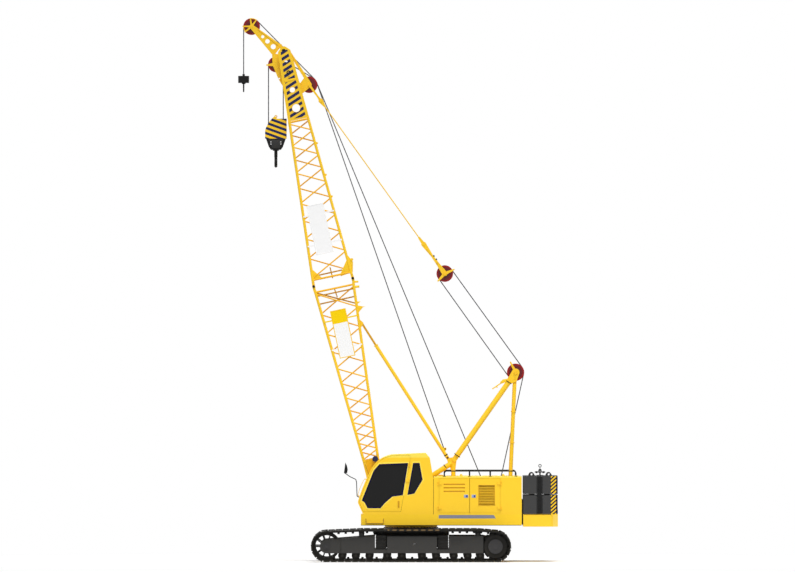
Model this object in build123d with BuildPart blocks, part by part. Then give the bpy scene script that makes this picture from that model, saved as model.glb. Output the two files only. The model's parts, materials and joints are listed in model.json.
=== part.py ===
from build123d import *
import os
from math import cos, hypot, radians, sin

# A crawler crane with a lattice boom, in millimetres. +X points forward, +Y to the left, where the
# cab is, and +Z up. The origin lies on the ground in the middle of the machine's length and width.
# A place on the machine is given forward of the slewing axis, left of the middle and above ground.
# A place on the boom is given along it from the foot pin, to the front of its centre line and left.

# Clearances
seat = 0.3  # between pieces of one body that bear on each other
bearing_gap = 0.5  # between the two races of the slewing ring
pin_play = 0.5  # radial, of a pin in its bore
side_play = 5  # beside what turns between two plates
door_gap = 6  # around a door

# Crawlers
track_gauge = 3540
shoe_width = 760
shoe_count = 60
shoe_thickness = 35
shoe_split = 22
chain_width = 300
chain_depth = 30
horn_width = 50
horn_length = 70
horn_height = 45
tumbler_spread = 4886
tumbler_radius = 385
groove_half = 35
groove_depth = 52
carrier_radius = 80
carrier_places = (1430, -1940)
top_run_height = 945
roller_radius = 122
roller_places = (1987, 1598, 1201, 690, 267, -316, -725, -1235, -1636, -2000)
axle_radius = 30
sprocket_teeth = 12
final_drive_radius = 211
sprocket_disc_radius = 333
idler_spokes = 10
idler_hub_radius = 110
spoke_width = 36

# Track frames and carbody
frame_width = 460
frame_bottom = 255
frame_top = 754
nose_top = 645
frame_slope_start = 1087
frame_end_gap = 20  # between the sprocket's disc and the frame's rear end
cheek = 85  # thickness of the frame's side plates beside idler, rollers and sprocket
beam_places = (870, -925)
beam_width = 300
beam_height = 400
beam_bottom = 366
pocket_gap = 25
side_plate = 30
carbody_front = 1085
carbody_rear = -1100
carbody_half = 1300
carbody_bottom = 420
carbody_top = 880
carbody_flange = 100  # thickness of its top plate, which overhangs the beams
carbody_body_front = 995
carbody_body_rear = -1015
ring_radius = 793
ring_bore = 600
ring_height = 100
race_radius = 760

# Turntable
deck_front = 1450
deck_rear = -3202
deck_bottom = 1055
deck_top = 1375
half_width = 1600
deck_wall = 40
beam_outer = 645
beam_inner = 440
bay_count = 4

# Boom
foot_place = (913.5, 1778)
boom_angle = 78
foot_half = 560  # from the middle to a foot plate and to a chord of the foot section
foot_plate = 50
foot_lug = 35
foot_pin_radius = 50
foot_boss_radius = 125
chord_diameter = 78
lacing_diameter = 40
frame_bar_diameter = 56
foot_taper_start = 1195
foot_depth_half = 210
joint_along = 6455
joint_depth_half = 579
head_start = 11287
head_end = 13280
head_depth_half = 150
head_half = 310  # from the middle to the head's side plates
head_plate = 30
coupling_half = 120

# Head
main_sheave_place = (12980, 313)
main_sheave_radius = 226
aux_sheave_place = (14201, 773)
aux_sheave_radius = 243
guide_sheave_place = (12203, -510)
guide_sheave_radius = 238
sheave_width = 56
sheave_pitch = 70
main_sheave_count = 3
rope_diameter = 24
rope_joint_gap = 80
bracket_half = 175  # from the middle to the outer face of the sheave brackets
bracket_plate = 25
shaft_radius = 45
jib_bore_place = (12160, 0)
jib_bore_radius = 77
wide_hole_place = (11621, 0)
wide_hole_radius = 116
jib_plate = 25
jib_pin_places = ((13490, 60), (13265, 325))
jib_pin_radius = 18

# Gantry and stays
gantry_half = 575
gantry_hub = (-1175, 2845)
gantry_top = (-3033, 5484)
post_place = -1227
post_diameter = 125
hub_tube_place = (-1308, 2410)
hub_tube_diameter = 60
strut_foot = (480, 1780)
strut_diameter = 140
mast_diameter = 150
mast_pin = (-1262, 2962)
leg_half = 545
leg_foot = -2836
leg_diameter = 110
leg_pin = (-3008, 5265)
gantry_sheave_radius = 250
gantry_sheave_count = 3
bridle_distance = 3521
bridle_sheave_radius = 241
lower_eye_distance = 4571
upper_eye_distance = 9691
pendant_diameter = 30
pendant_inner = 190
pendant_thickness = 36

# Backstop
backstop_foot = (-1102, 2938)
backstop_head = (5112, -568)
backstop_tube_diameter = 96
backstop_tube_length = 3950
backstop_rod_diameter = 60
backstop_rod_length = 3700
backstop_eye_middle = 477
backstop_eye_thickness = 40
backstop_pin_radius = 24
backstop_lug_inner = 512

# Cab and houses
room_half = 650  # from the middle to the cab's and the houses' inner walls
cab_wall = 50
cab_rear = -647
door_frame = 42
door_sill = 1462
door_corner_top = 3072  # of the corner behind the hinges, which swings in under the roof
pane = 8
pane_depth = 22
house_front = -653
right_house_front = 300
house_top = 2468
house_wall = 40
house_door_bottom = 1415
house_door_top = 2425
house_lines = (-809, -1694, -2581)  # front edge, meeting line and rear edge of a house's doors
hinge_out = 14  # from a door's outer face to its hinges' axis
hinge_radius = 9
hinge_foot_depth = 2
hinge_pin_radius = 5
hinge_length = 60
hinge_inset = 150  # from a house door's upper or lower edge to its hinge
hinge_frame_reach = 50
hinge_leaf_reach = 70
cab_hinge = 60
cab_hinges = ((2350, 14, 92), (2800, 40, 16))  # height, reach on the frame and on the door
rail_height = 2630
rail_diameter = 34
rail_front = -966
rail_rear = -3036
rail_posts = (-1697, -2297)
rail_inset = 60

# Machinery
drum_places = (-1168, -1992, -2749)
drum_height = 1850
drum_radius = 250
drum_flange_radius = 330
drum_flange = 25
drum_stand = 40
engine_length = 1500
engine_width = 640
engine_height = 760
engine_middle = -1900

# Counterweight
tray_front = -3245
tray_rear = -4251
tray_bottom = 1021
tray_top = 1383
slab_rear = -4243
slab_split = 1930
slab_gap = 35
slab_top = 2485
slab_chamfer = 200
keeper_middle = -3720
keeper_width = 183
keeper_depth = 45
keeper_gap = 64
keeper_thickness = 28
stand_height = 105
stand_bar = 304
lug_bore_radius = 35
lug_thickness = 60

# Hooks
block_top = 12908
block_bottom = 12258
block_half_length = 312
block_half_width = 130
cheek_plate = 22
weight_bottom = 11933
weight_foot_half = 144
hook_bottom = 11406
hook_diameter = 110
hook_throat = 130
stem_diameter = 96
stem_depth = 150
aux_weight_top = 14077
aux_weight_bottom = 13871
aux_weight_radius = 160
aux_hook_bottom = 13600
aux_hook_diameter = 50
aux_hook_throat = 60
aux_stem_diameter = 44
aux_stem_depth = 80

# Derived places
boom_along = (cos(radians(boom_angle)), sin(radians(boom_angle)))
boom_front = (boom_along[1], -boom_along[0])


def on_boom(along, front):
    """The forward and upward place of a point of the boom."""
    return (
        foot_place[0] + along * boom_along[0] + front * boom_front[0],
        foot_place[1] + along * boom_along[1] + front * boom_front[1],
    )


aux_axis = on_boom(*aux_sheave_place)
main_axis = on_boom(*main_sheave_place)
guide_axis = on_boom(*guide_sheave_place)
aux_line = aux_axis[0] + aux_sheave_radius - rope_diameter / 2
slew_x = -(aux_line + aux_weight_radius + tray_rear) / 2
band = shoe_thickness + chain_depth
tumbler_height = band + seat + tumbler_radius
carrier_height = top_run_height - band - seat - carrier_radius
roller_height = band + seat + roller_radius
frame_half = frame_width / 2
slot_half = frame_half - cheek
stay_length = hypot(guide_axis[0] - gantry_top[0], guide_axis[1] - gantry_top[1])
stay_dir = (
    (guide_axis[0] - gantry_top[0]) / stay_length,
    (guide_axis[1] - gantry_top[1]) / stay_length,
)
backstop_top = on_boom(*backstop_head)
backstop_length = hypot(backstop_top[0] - backstop_foot[0], backstop_top[1] - backstop_foot[1])
backstop_dir = (
    (backstop_top[0] - backstop_foot[0]) / backstop_length,
    (backstop_top[1] - backstop_foot[1]) / backstop_length,
)
cab_middle = (room_half + half_width) / 2
cab_half = (half_width - room_half) / 2
hands = (("left", 1), ("right", -1))

os.makedirs("parts", exist_ok=True)


# Helpers
def spot(forward, left, up):
    """A point of the machine."""
    return Vector(slew_x + forward, left, up)


def boom_spot(along, front, left):
    """A point of the boom."""
    forward, up = on_boom(along, front)
    return spot(forward, left, up)


def side(left):
    """The upright plane seen from the right, with x forward and y up."""
    return Plane(origin=spot(0, left, 0), x_dir=(1, 0, 0), z_dir=(0, -1, 0))


def level(up):
    """The level plane with x forward and y to the left."""
    return Plane(origin=spot(0, 0, up))


def boom_side(left):
    """The boom's side plane, with x along the boom and y to its front."""
    return Plane(origin=boom_spot(0, 0, left), x_dir=(boom_along[0], 0, boom_along[1]), z_dir=(0, 1, 0))


def link_side(base, direction, left):
    """The side plane of a straight link, with x from its base along it."""
    return Plane(
        origin=spot(base[0], left, base[1]), x_dir=(direction[0], 0, direction[1]), z_dir=(0, 1, 0)
    )


def bar(start, end, diameter):
    """A loose round bar between two points, for add()."""
    start, end = Vector(start), Vector(end)
    along = Plane(origin=start, z_dir=end - start)
    height = (end - start).length
    bottom = (Align.CENTER, Align.CENTER, Align.MIN)
    return along * Cylinder(diameter / 2, height, align=bottom, mode=Mode.PRIVATE)


def disc(plane, place, radius, half_thickness, mode=Mode.ADD):
    """A disc across a side plane, thick to both sides of it."""
    with BuildSketch(plane) as face:
        with Locations(place):
            Circle(radius)
    extrude(face.sketch, amount=half_thickness, both=True, mode=mode)


def block(plane, low, high, half_thickness, mode=Mode.ADD):
    """A box on a side plane, from one corner to the other, thick to both sides of it."""
    with BuildSketch(plane) as face:
        with Locations(((low[0] + high[0]) / 2, (low[1] + high[1]) / 2)):
            Rectangle(abs(high[0] - low[0]), abs(high[1] - low[1]))
    extrude(face.sketch, amount=half_thickness, both=True, mode=mode)


def web(plane, rounds, half_thickness, mode=Mode.ADD):
    """A plate wrapped around discs, given as (x, y, radius)."""
    with BuildSketch(plane) as face:
        for x, y, radius in rounds:
            with Locations((x, y)):
                Circle(radius)
        make_hull()
    extrude(face.sketch, amount=half_thickness, both=True, mode=mode)


def plate(plane, points, half_thickness, mode=Mode.ADD):
    """A flat plate with straight edges."""
    with BuildSketch(plane) as face:
        with BuildLine():
            Polyline(*points, close=True)
        make_face()
    extrude(face.sketch, amount=half_thickness, both=True, mode=mode)


def keep(piece, name):
    """Label a finished piece and write it out."""
    piece.part.label = name
    export_step(piece.part, f"parts/{name}.step")


def hinge_arm(axis, hand, reach, low, high):
    """A hinge's arm from its upright axis to a foot on the wall or the door beside it."""
    outer = half_width + hinge_out
    foot = half_width - hinge_foot_depth
    with BuildSketch(level(low)) as face:
        with Locations((axis, hand * outer), (axis + reach, hand * outer)):
            Circle(hinge_radius)
        make_hull()
        with Locations((axis + reach, hand * (outer + foot) / 2)):
            Rectangle(2 * hinge_radius, outer - foot)
    extrude(face.sketch, amount=high - low)


def hinge_frame(axis, hand, reach, height):
    """The fixed half of a hinge: two arms and the pin between them."""
    end = hinge_length / 2
    for low in (height - 1.5 * end, height + end + 1):
        hinge_arm(axis, hand, reach, low, low + end / 2 - 1)
    outer = hand * (half_width + hinge_out)
    low, high = spot(axis, outer, height - 1.3 * end), spot(axis, outer, height + 1.3 * end)
    add(bar(low, high, 2 * hinge_pin_radius))


def hinge_leaf(axis, hand, reach, height):
    """The moving half of a hinge, which turns on the pin."""
    end = hinge_length / 2
    hinge_arm(axis, hand, reach, height - end, height + end)
    outer = hand * (half_width + hinge_out)
    with BuildSketch(level(height - end)) as face:
        with Locations((axis, outer)):
            Circle(hinge_pin_radius + pin_play)
    extrude(face.sketch, amount=2 * end, mode=Mode.SUBTRACT)


def sheave(plane, place, radius, lefts, bore, width=sheave_width):
    """Grooved sheaves side by side on one shaft."""
    groove = rope_diameter / 2 + 1
    for left in lefts:
        shifted = plane.offset(left * (1 if plane.z_dir.Y > 0 else -1))
        disc(shifted, place, radius - rope_diameter - seat, width / 2)
        for edge in (-1, 1):
            rim = shifted.offset(edge * (width / 2 + groove) / 2)
            disc(rim, place, radius, (width / 2 - groove) / 2)
    disc(plane, place, bore + 20, max(lefts) + width / 2 + 4)
    disc(plane, place, bore, max(lefts) + width, Mode.SUBTRACT)


def row(count, pitch):
    """Places side by side about the middle."""
    return [(i - (count - 1) / 2) * pitch for i in range(count)]


# Crawlers: each loop is a chain around idler, sprocket and carrier rollers, with its shoes on it
def run_outline(depth):
    """The outline that lies the given depth outside idler, sprocket and carrier rollers."""
    for forward in (tumbler_spread / 2, -tumbler_spread / 2):
        with Locations((forward, tumbler_height)):
            Circle(tumbler_radius + seat + depth)
    for forward in carrier_places:
        with Locations((forward, carrier_height)):
            Circle(carrier_radius + seat + depth)
    make_hull()


middle = track_gauge / 2
with BuildSketch(side(middle)) as shoe_run:
    run_outline(chain_depth)
shoe_path = shoe_run.sketch.face().outer_wire()
shoe_length = shoe_path.length / shoe_count - shoe_split
with BuildPart() as track:
    with BuildSketch(side(middle)):
        run_outline(chain_depth + shoe_thickness / 4)
    extrude(amount=chain_width / 2, both=True)
    with BuildSketch(side(middle)):
        run_outline(0)
    extrude(amount=chain_width / 2, both=True, mode=Mode.SUBTRACT)
    shoes = []
    for i in range(shoe_count):
        place = shoe_path.length * i / shoe_count
        point = shoe_path.position_at(place, position_mode=PositionMode.LENGTH)
        along = shoe_path.tangent_at(place, position_mode=PositionMode.LENGTH)
        outward = along.cross(Vector(0, 1, 0))
        if outward.dot(point - Vector(slew_x, middle, tumbler_height)) < 0:
            outward = outward * -1
        outside = Plane(origin=point, x_dir=along, z_dir=outward)
        low = (Align.CENTER, Align.CENTER, Align.MIN)
        high = (Align.CENTER, Align.CENTER, Align.MAX)
        shoes.append(outside * Box(shoe_length, shoe_width, shoe_thickness, align=low, mode=Mode.PRIVATE))
        horn = Box(horn_length, horn_width, horn_height + chain_depth, align=high, mode=Mode.PRIVATE)
        shoes.append(outside * horn)
    add(shoes)
keep(track, "track_left")
with BuildPart() as right_track:
    mirror(track.part, about=Plane.XZ)
keep(right_track, "track_right")

# Idlers in front: two rims joined by spokes to a hub that fills the frame's slot
front_axis = (tumbler_spread / 2, tumbler_height)
rear_axis = (-tumbler_spread / 2, tumbler_height)
root_radius = tumbler_radius - groove_depth
with BuildPart() as idlers:
    disc(side(middle), front_axis, tumbler_radius, slot_half - 8)
    disc(side(middle), front_axis, root_radius - 8, slot_half, Mode.SUBTRACT)
    with BuildSketch(side(middle)):
        with Locations(front_axis):
            Circle(tumbler_radius + 1)
            Circle(root_radius, mode=Mode.SUBTRACT)
    extrude(amount=groove_half, both=True, mode=Mode.SUBTRACT)
    disc(side(middle), front_axis, idler_hub_radius, slot_half - seat)
    with BuildSketch(side(middle)):
        with Locations(front_axis):
            with PolarLocations((idler_hub_radius + root_radius) / 2, idler_spokes):
                Rectangle(root_radius - idler_hub_radius + 8, spoke_width)
    extrude(amount=slot_half * 0.6, both=True)
    mirror(about=Plane.XZ)
keep(idlers, "idlers")

# Sprockets behind: two toothed rings, the disc outside the frame and the final drive's housing
with BuildPart() as sprockets:
    disc(side(middle), rear_axis, root_radius - 8, slot_half - seat)
    with BuildSketch(side(middle)):
        with Locations(rear_axis):
            Circle(tumbler_radius)
            with PolarLocations(tumbler_radius, sprocket_teeth):
                Circle(groove_depth * 0.7, mode=Mode.SUBTRACT)
    extrude(amount=slot_half - 10, both=True)
    with BuildSketch(side(middle)):
        with Locations(rear_axis):
            Circle(tumbler_radius + 1)
            Circle(root_radius - 8, mode=Mode.SUBTRACT)
    extrude(amount=groove_half, both=True, mode=Mode.SUBTRACT)
    disc_half = cheek / 4
    disc(side(middle + slot_half + disc_half - 1), rear_axis, sprocket_disc_radius, disc_half)
    cap_half = cheek / 2 - disc_half
    disc(side(middle + frame_half - cap_half), rear_axis, final_drive_radius, cap_half + 2)
    mirror(about=Plane.XZ)
keep(sprockets, "sprockets")

# Track rollers and carrier rollers, each with a groove for the horns and an axle
roller_seats = [(forward, roller_height, roller_radius) for forward in roller_places]
roller_seats += [(forward, carrier_height, carrier_radius) for forward in carrier_places]
rim_half = (slot_half - 12 - groove_half) / 2
with BuildPart() as rollers:
    for forward, height, radius in roller_seats:
        disc(side(middle), (forward, height), axle_radius, slot_half - seat)
        for edge in (-1, 1):
            disc(side(middle + edge * (groove_half + rim_half)), (forward, height), radius, rim_half)
        if radius > groove_depth + axle_radius:
            disc(side(middle), (forward, height), radius - groove_depth, groove_half)
    mirror(about=Plane.XZ)
keep(rollers, "rollers")

# Track frames: a box beam with a fork for the idler, a channel for the rollers, pockets for the
# carbody's beams and an arm for the final drive
frame_rear = rear_axis[0] + sprocket_disc_radius + frame_end_gap
nose = (nose_top - frame_bottom) / 2
slot_start = front_axis[0] - tumbler_radius - pocket_gap
rear_slot = rear_axis[0] + tumbler_radius + pocket_gap
channel_top = roller_height + roller_radius + 20
plate_low, plate_high = frame_bottom + 8, frame_top - 22
plate_front = beam_places[0] - beam_width / 2 - pocket_gap
plate_rear = beam_places[1] + beam_width / 2 + pocket_gap
with BuildPart() as track_frame:
    with BuildSketch(side(middle)):
        with BuildLine():
            Line((frame_rear, frame_bottom), (front_axis[0], frame_bottom))
            ThreePointArc(
                (front_axis[0], frame_bottom),
                (front_axis[0] + nose, frame_bottom + nose),
                (front_axis[0], nose_top),
            )
            Polyline(
                (front_axis[0], nose_top),
                (frame_slope_start, frame_top),
                (frame_rear, frame_top),
                (frame_rear, frame_bottom),
            )
        make_face()
    extrude(amount=frame_half, both=True)
    raised = side(middle + frame_half + side_plate / 2)
    block(raised, (plate_rear, plate_low), (plate_front, plate_high), side_plate / 2)
    block(side(middle), (slot_start, 0), (front_axis[0] + nose + 50, frame_top), slot_half, Mode.SUBTRACT)
    block(side(middle), (frame_rear - 10, 0), (slot_start, channel_top), slot_half, Mode.SUBTRACT)
    block(side(middle), (frame_rear - 10, 0), (rear_slot, frame_top + 1), slot_half, Mode.SUBTRACT)
    for forward in beam_places:
        reach = beam_width / 2 + pocket_gap
        low = (forward - reach, beam_bottom - seat)
        block(side(middle), low, (forward + reach, frame_top + 1), frame_half + side_plate, Mode.SUBTRACT)
    for forward in carrier_places:
        low = (forward - carrier_radius - 15, carrier_height - carrier_radius - 15)
        block(side(middle), low, (forward + carrier_radius + 15, frame_top + 1), slot_half, Mode.SUBTRACT)
    with BuildSketch(side(middle)):
        with Locations(((plate_front + plate_rear) / 2 - 75, (plate_low + plate_high) / 2 + 30)):
            SlotOverall(90, 32)
    extrude(amount=frame_half + side_plate, both=True, mode=Mode.SUBTRACT)
    arm = side(middle - slot_half - cheek / 2)
    web(arm, [(*rear_axis, 230), (frame_rear, frame_bottom + 60, 60), (frame_rear, frame_top - 60, 60)],
        cheek / 2)
    for forward in carrier_places:
        for edge in (-1, 1):
            ear = side(middle + edge * (slot_half + 10))
            rounds = [(forward, carrier_height, 45), (forward - 60, frame_top - 120, 30),
                      (forward + 60, frame_top - 120, 30)]
            web(ear, rounds, 10)
keep(track_frame, "track_frame_left")
with BuildPart() as right_frame:
    mirror(track_frame.part, about=Plane.XZ)
keep(right_frame, "track_frame_right")

# Carbody: centre box and two beams that reach into the track frames' pockets
with BuildPart() as carbody:
    with BuildSketch(side(0)):
        with BuildLine():
            Polyline(
                (carbody_front, carbody_top),
                (carbody_front, carbody_top - carbody_flange),
                (carbody_body_front, carbody_top - carbody_flange),
                (carbody_body_front, carbody_bottom + 160),
                (carbody_body_front - 160, carbody_bottom),
                (carbody_body_rear + 160, carbody_bottom),
                (carbody_body_rear, carbody_bottom + 160),
                (carbody_body_rear, carbody_top - carbody_flange),
                (carbody_rear, carbody_top - carbody_flange),
                (carbody_rear, carbody_top),
                close=True,
            )
        make_face()
    extrude(amount=carbody_half, both=True)
    for forward in beam_places:
        low = (forward - beam_width / 2, beam_bottom)
        high = (forward + beam_width / 2, beam_bottom + beam_height)
        block(side(0), low, high, track_gauge / 2 + frame_half - 60)
    with BuildSketch(level(carbody_bottom)):
        Circle(ring_bore - 60)
    extrude(amount=carbody_top - carbody_bottom - 120, mode=Mode.SUBTRACT)
keep(carbody, "carbody")

with BuildPart() as slew_ring:
    with BuildSketch(level(carbody_top)):
        Circle(ring_radius)
        Circle(ring_bore, mode=Mode.SUBTRACT)
    extrude(amount=ring_height)
keep(slew_ring, "slew_ring")

# Turntable: side decks open below, an open centre between two beams, the upper race, the tail that
# carries the counterweight, and the brackets for boom foot and gantry strut
with BuildPart() as turntable:
    length = deck_front - deck_rear
    middle = (deck_front + deck_rear) / 2
    block(side(0), (deck_rear, deck_bottom), (deck_front, deck_top), half_width)
    bay = (length - (bay_count + 1) * deck_wall) / bay_count
    with BuildSketch(level(deck_bottom)):
        for hand in (1, -1):
            with Locations((middle, hand * (beam_outer + half_width) / 2 - hand * deck_wall / 2)):
                with GridLocations(bay + deck_wall, 0, bay_count, 1):
                    Rectangle(bay, half_width - beam_outer - deck_wall)
    extrude(amount=deck_top - deck_bottom - deck_wall, mode=Mode.SUBTRACT)
    with BuildSketch(level(deck_bottom + deck_wall)):
        with Locations((middle, 0)):
            with GridLocations(bay + deck_wall, 0, bay_count, 1):
                Rectangle(bay, 2 * beam_inner)
    extrude(amount=deck_top - deck_bottom, mode=Mode.SUBTRACT)
    race_height = deck_bottom - carbody_top - ring_height - bearing_gap
    with BuildSketch(level(deck_bottom)):
        Circle(race_radius)
    extrude(amount=-race_height)
    block(side(0), (tray_front + seat, tray_bottom + 60), (deck_rear, deck_top - 40), beam_outer)
    for hand in (1, -1):
        for edge in (-1, 1):
            lug_middle = foot_half + edge * (foot_plate / 2 + side_play + foot_lug / 2)
            rounds = [(*foot_place, foot_boss_radius), (*strut_foot, 100),
                      (foot_place[0] + 100, deck_top, 20), (strut_foot[0] - 100, deck_top, 20)]
            web(side(hand * lug_middle), rounds, foot_lug / 2)
            disc(side(hand * lug_middle), strut_foot, foot_pin_radius + seat, foot_lug, Mode.SUBTRACT)
        disc(side(hand * foot_half), foot_place, foot_pin_radius, foot_plate / 2 + side_play + foot_lug + 4)
keep(turntable, "turntable")

# Cab
def cab_outline():
    """The cab's side outline: upright back, flat roof, and an arched windscreen."""
    with BuildLine() as outline:
        Line((cab_rear, deck_top + seat), (1386, deck_top + seat))
        Line((1386, deck_top + seat), (1525, 1685))
        ThreePointArc((1525, 1685), (1536, 1728), (1525, 1790))
        ThreePointArc((1525, 1790), (1368, 2222), (1183, 2622))
        ThreePointArc((1183, 2622), (940, 2940), (554, 3112))
        Polyline((554, 3112), (-423, 3155), (-545, 3010), (cab_rear, 2398), (cab_rear, deck_top + seat))
    make_face(outline.line)


def door_outline(grow):
    """The cab door's outline: it follows the cab's front and ends at a slanted shut line."""
    cab_outline()
    offset(amount=-door_frame)
    with BuildLine() as shut_line:
        Polyline(
            (23, door_corner_top), (23, 2978), (299, door_sill), (1800, door_sill), (1800, 3300),
            (110, 3300), (75, door_corner_top), close=True,
        )
    make_face(shut_line.line, mode=Mode.INTERSECT)
    if grow:
        offset(amount=grow)


def side_window(shrink):
    """The big window of the cab's side."""
    with BuildLine() as outline:
        Polyline(
            (1427, 1778), (1082, 2642), (919, 2830), (81, 2865), (238, 1931),
            (542, 1891), (757, 1705), (882, 1554), (1256, 1554), (1346, 1726), close=True,
        )
    make_face(outline.line)
    if shrink:
        offset(amount=-shrink)


def rear_window(shrink):
    """The small window behind the cab's door."""
    with BuildLine() as outline:
        Polyline((-58, 2865), (-249, 2865), (-334, 2378), (-99, 1981), (104, 1940), close=True)
    make_face(outline.line)
    if shrink:
        offset(amount=-shrink)


windscreen_low = 1850
windscreen_high = 2830
cab_post = 90
back_low = 2000
back_high = 2700

with BuildPart() as cab_shell:
    with BuildSketch(side(cab_middle)):
        cab_outline()
    extrude(amount=cab_half, both=True)
    with BuildSketch(side(cab_middle)):
        cab_outline()
        offset(amount=-cab_wall)
    extrude(amount=cab_half - cab_wall, both=True, mode=Mode.SUBTRACT)
    with BuildSketch(side(half_width)):
        door_outline(door_gap)
        rear_window(0)
    extrude(amount=cab_wall + 1, both=True, mode=Mode.SUBTRACT)
    with BuildSketch(side(room_half)):
        side_window(0)
        rear_window(0)
    extrude(amount=cab_wall + 1, both=True, mode=Mode.SUBTRACT)
    with BuildSketch(side(cab_middle)):
        with Locations((1500, (windscreen_low + windscreen_high) / 2)):
            Rectangle(1300, windscreen_high - windscreen_low)
        with Locations((cab_rear, (back_low + back_high) / 2)):
            Rectangle(400, back_high - back_low)
    extrude(amount=cab_half - cab_post, both=True, mode=Mode.SUBTRACT)
    for height, reach, _ in cab_hinges:
        hinge_frame(cab_hinge, 1, -reach, height)
keep(cab_shell, "cab_shell")

with BuildPart() as cab_glass:
    with BuildSketch(side(cab_middle)):
        cab_outline()
        offset(amount=-pane_depth)
        offset(amount=-pane, mode=Mode.SUBTRACT)
        with Locations((1500, (windscreen_low + windscreen_high) / 2)):
            Rectangle(1300, windscreen_high - windscreen_low - 2 * seat, mode=Mode.INTERSECT)
    extrude(amount=cab_half - cab_post - seat, both=True)
    with BuildSketch(side(cab_middle)):
        cab_outline()
        offset(amount=-pane_depth)
        offset(amount=-pane, mode=Mode.SUBTRACT)
        with Locations((cab_rear, (back_low + back_high) / 2)):
            Rectangle(400, back_high - back_low - 2 * seat, mode=Mode.INTERSECT)
    extrude(amount=cab_half - cab_post - seat, both=True)
    with BuildSketch(side(half_width - pane_depth)):
        rear_window(seat)
    extrude(amount=pane)
    with BuildSketch(side(room_half + pane_depth + pane)):
        rear_window(seat)
        side_window(seat)
    extrude(amount=pane)
keep(cab_glass, "cab_glass")

with BuildPart() as cab_door:
    with BuildSketch(side(half_width)):
        door_outline(0)
        side_window(0)
    extrude(amount=cab_wall)
    with BuildSketch(side(half_width + 1)):
        side_window(0)
    extrude(amount=cab_wall + 2, mode=Mode.SUBTRACT)
    for height, _, reach in cab_hinges:
        hinge_leaf(cab_hinge, 1, reach, height)
keep(cab_door, "cab_door")

with BuildPart() as door_glass:
    with BuildSketch(side(half_width - pane_depth)):
        side_window(seat)
    extrude(amount=pane)
keep(door_glass, "cab_door_glass")

# Seat with its base, consoles and levers
seat_place = 150
floor = deck_top + seat + cab_wall
with BuildPart() as cab_seat:
    block(side(cab_middle), (seat_place - 200, floor + seat), (seat_place + 200, floor + 380), 200)
    block(side(cab_middle), (seat_place - 260, floor + 380), (seat_place + 260, floor + 500), 250)
    back = [(seat_place - 260, floor + 400), (seat_place - 130, floor + 400),
            (seat_place - 240, floor + 1080), (seat_place - 350, floor + 1080)]
    plate(side(cab_middle), back, 230)
    for hand in (1, -1):
        arm = side(cab_middle + hand * 300)
        block(arm, (seat_place - 200, floor + 460), (seat_place + 330, floor + 620), 50)
        lever = spot(seat_place + 270, cab_middle + hand * 300, floor + 600)
        add(bar(lever, lever + Vector(20, 0, 220), 30))
keep(cab_seat, "cab_seat")

# Mirror on a bent arm in front of the cab
mirror_left = half_width - 60
with BuildPart() as mirror:
    with BuildLine(side(mirror_left)) as arm_path:
        FilletPolyline(
            (1501.9, 1870.2), (1562, 1905), (1576, 2310), (1600, 2390), (1760, 2465), (1925, 2580), radius=30,
        )
    with BuildSketch(Plane(origin=arm_path.line @ 0, z_dir=arm_path.line % 0)) as section:
        Circle(12)
    sweep(section.sketch, path=arm_path.line)
    glass = [(1938, 2567), (1938, 2600), (1900, 2880), (1860, 2800), (1830, 2680), (1850, 2567)]
    plate(side(mirror_left), glass, 90)
keep(mirror, "mirror")

# Houses on both sides of the centre, each with two doors on its outer side
for name, hand in hands:
    outer = hand * half_width
    house_middle = hand * cab_middle
    front = house_front if hand > 0 else right_house_front
    base = deck_top + seat
    with BuildPart() as house:
        block(side(house_middle), (deck_rear, base), (front, house_top), cab_half)
        with BuildSketch(side(house_middle)):
            with Locations(((deck_rear + front) / 2, (base + house_top) / 2 - house_wall / 2 - 1)):
                Rectangle(front - deck_rear - 2 * house_wall, house_top - base - house_wall + 2)
        extrude(amount=cab_half - house_wall, both=True, mode=Mode.SUBTRACT)
        low = (house_lines[2], house_door_bottom)
        high = (house_lines[0], house_door_top)
        block(side(outer), low, high, house_wall + 1, Mode.SUBTRACT)
        for axis, turn in ((house_lines[0] - door_gap, 1), (house_lines[2] + door_gap, -1)):
            for height in (house_door_bottom + hinge_inset, house_door_top - hinge_inset):
                hinge_frame(axis, hand, turn * hinge_frame_reach, height)
    keep(house, f"house_{name}")
    for place, start, end in (("front", house_lines[0], house_lines[1]),
                              ("rear", house_lines[1], house_lines[2])):
        panel = side(outer - hand * house_wall / 2)
        low = (end + door_gap, house_door_bottom + door_gap)
        high = (start - door_gap, house_door_top - door_gap)
        with BuildPart() as door:
            block(panel, low, high, house_wall / 2)
            if place == "front":
                for height in (2245, 2143, 2042):
                    block(panel, (-1563, height - 18), (-943, height + 18), house_wall, Mode.SUBTRACT)
            else:
                block(panel, (-2424, 1633), (-1949, 2224), house_wall, Mode.SUBTRACT)
                for i in range(1, 8):
                    height = 1633 + (2224 - 1633) * i / 8
                    block(panel, (-2425, height - 8), (-1948, height + 8), house_wall / 4)
            axis, reach = (high[0], -hinge_leaf_reach) if place == "front" else (low[0], hinge_leaf_reach)
            for height in (house_door_bottom + hinge_inset, house_door_top - hinge_inset):
                hinge_leaf(axis, hand, reach, height)
        keep(door, f"house_door_{name}_{place}")

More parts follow.
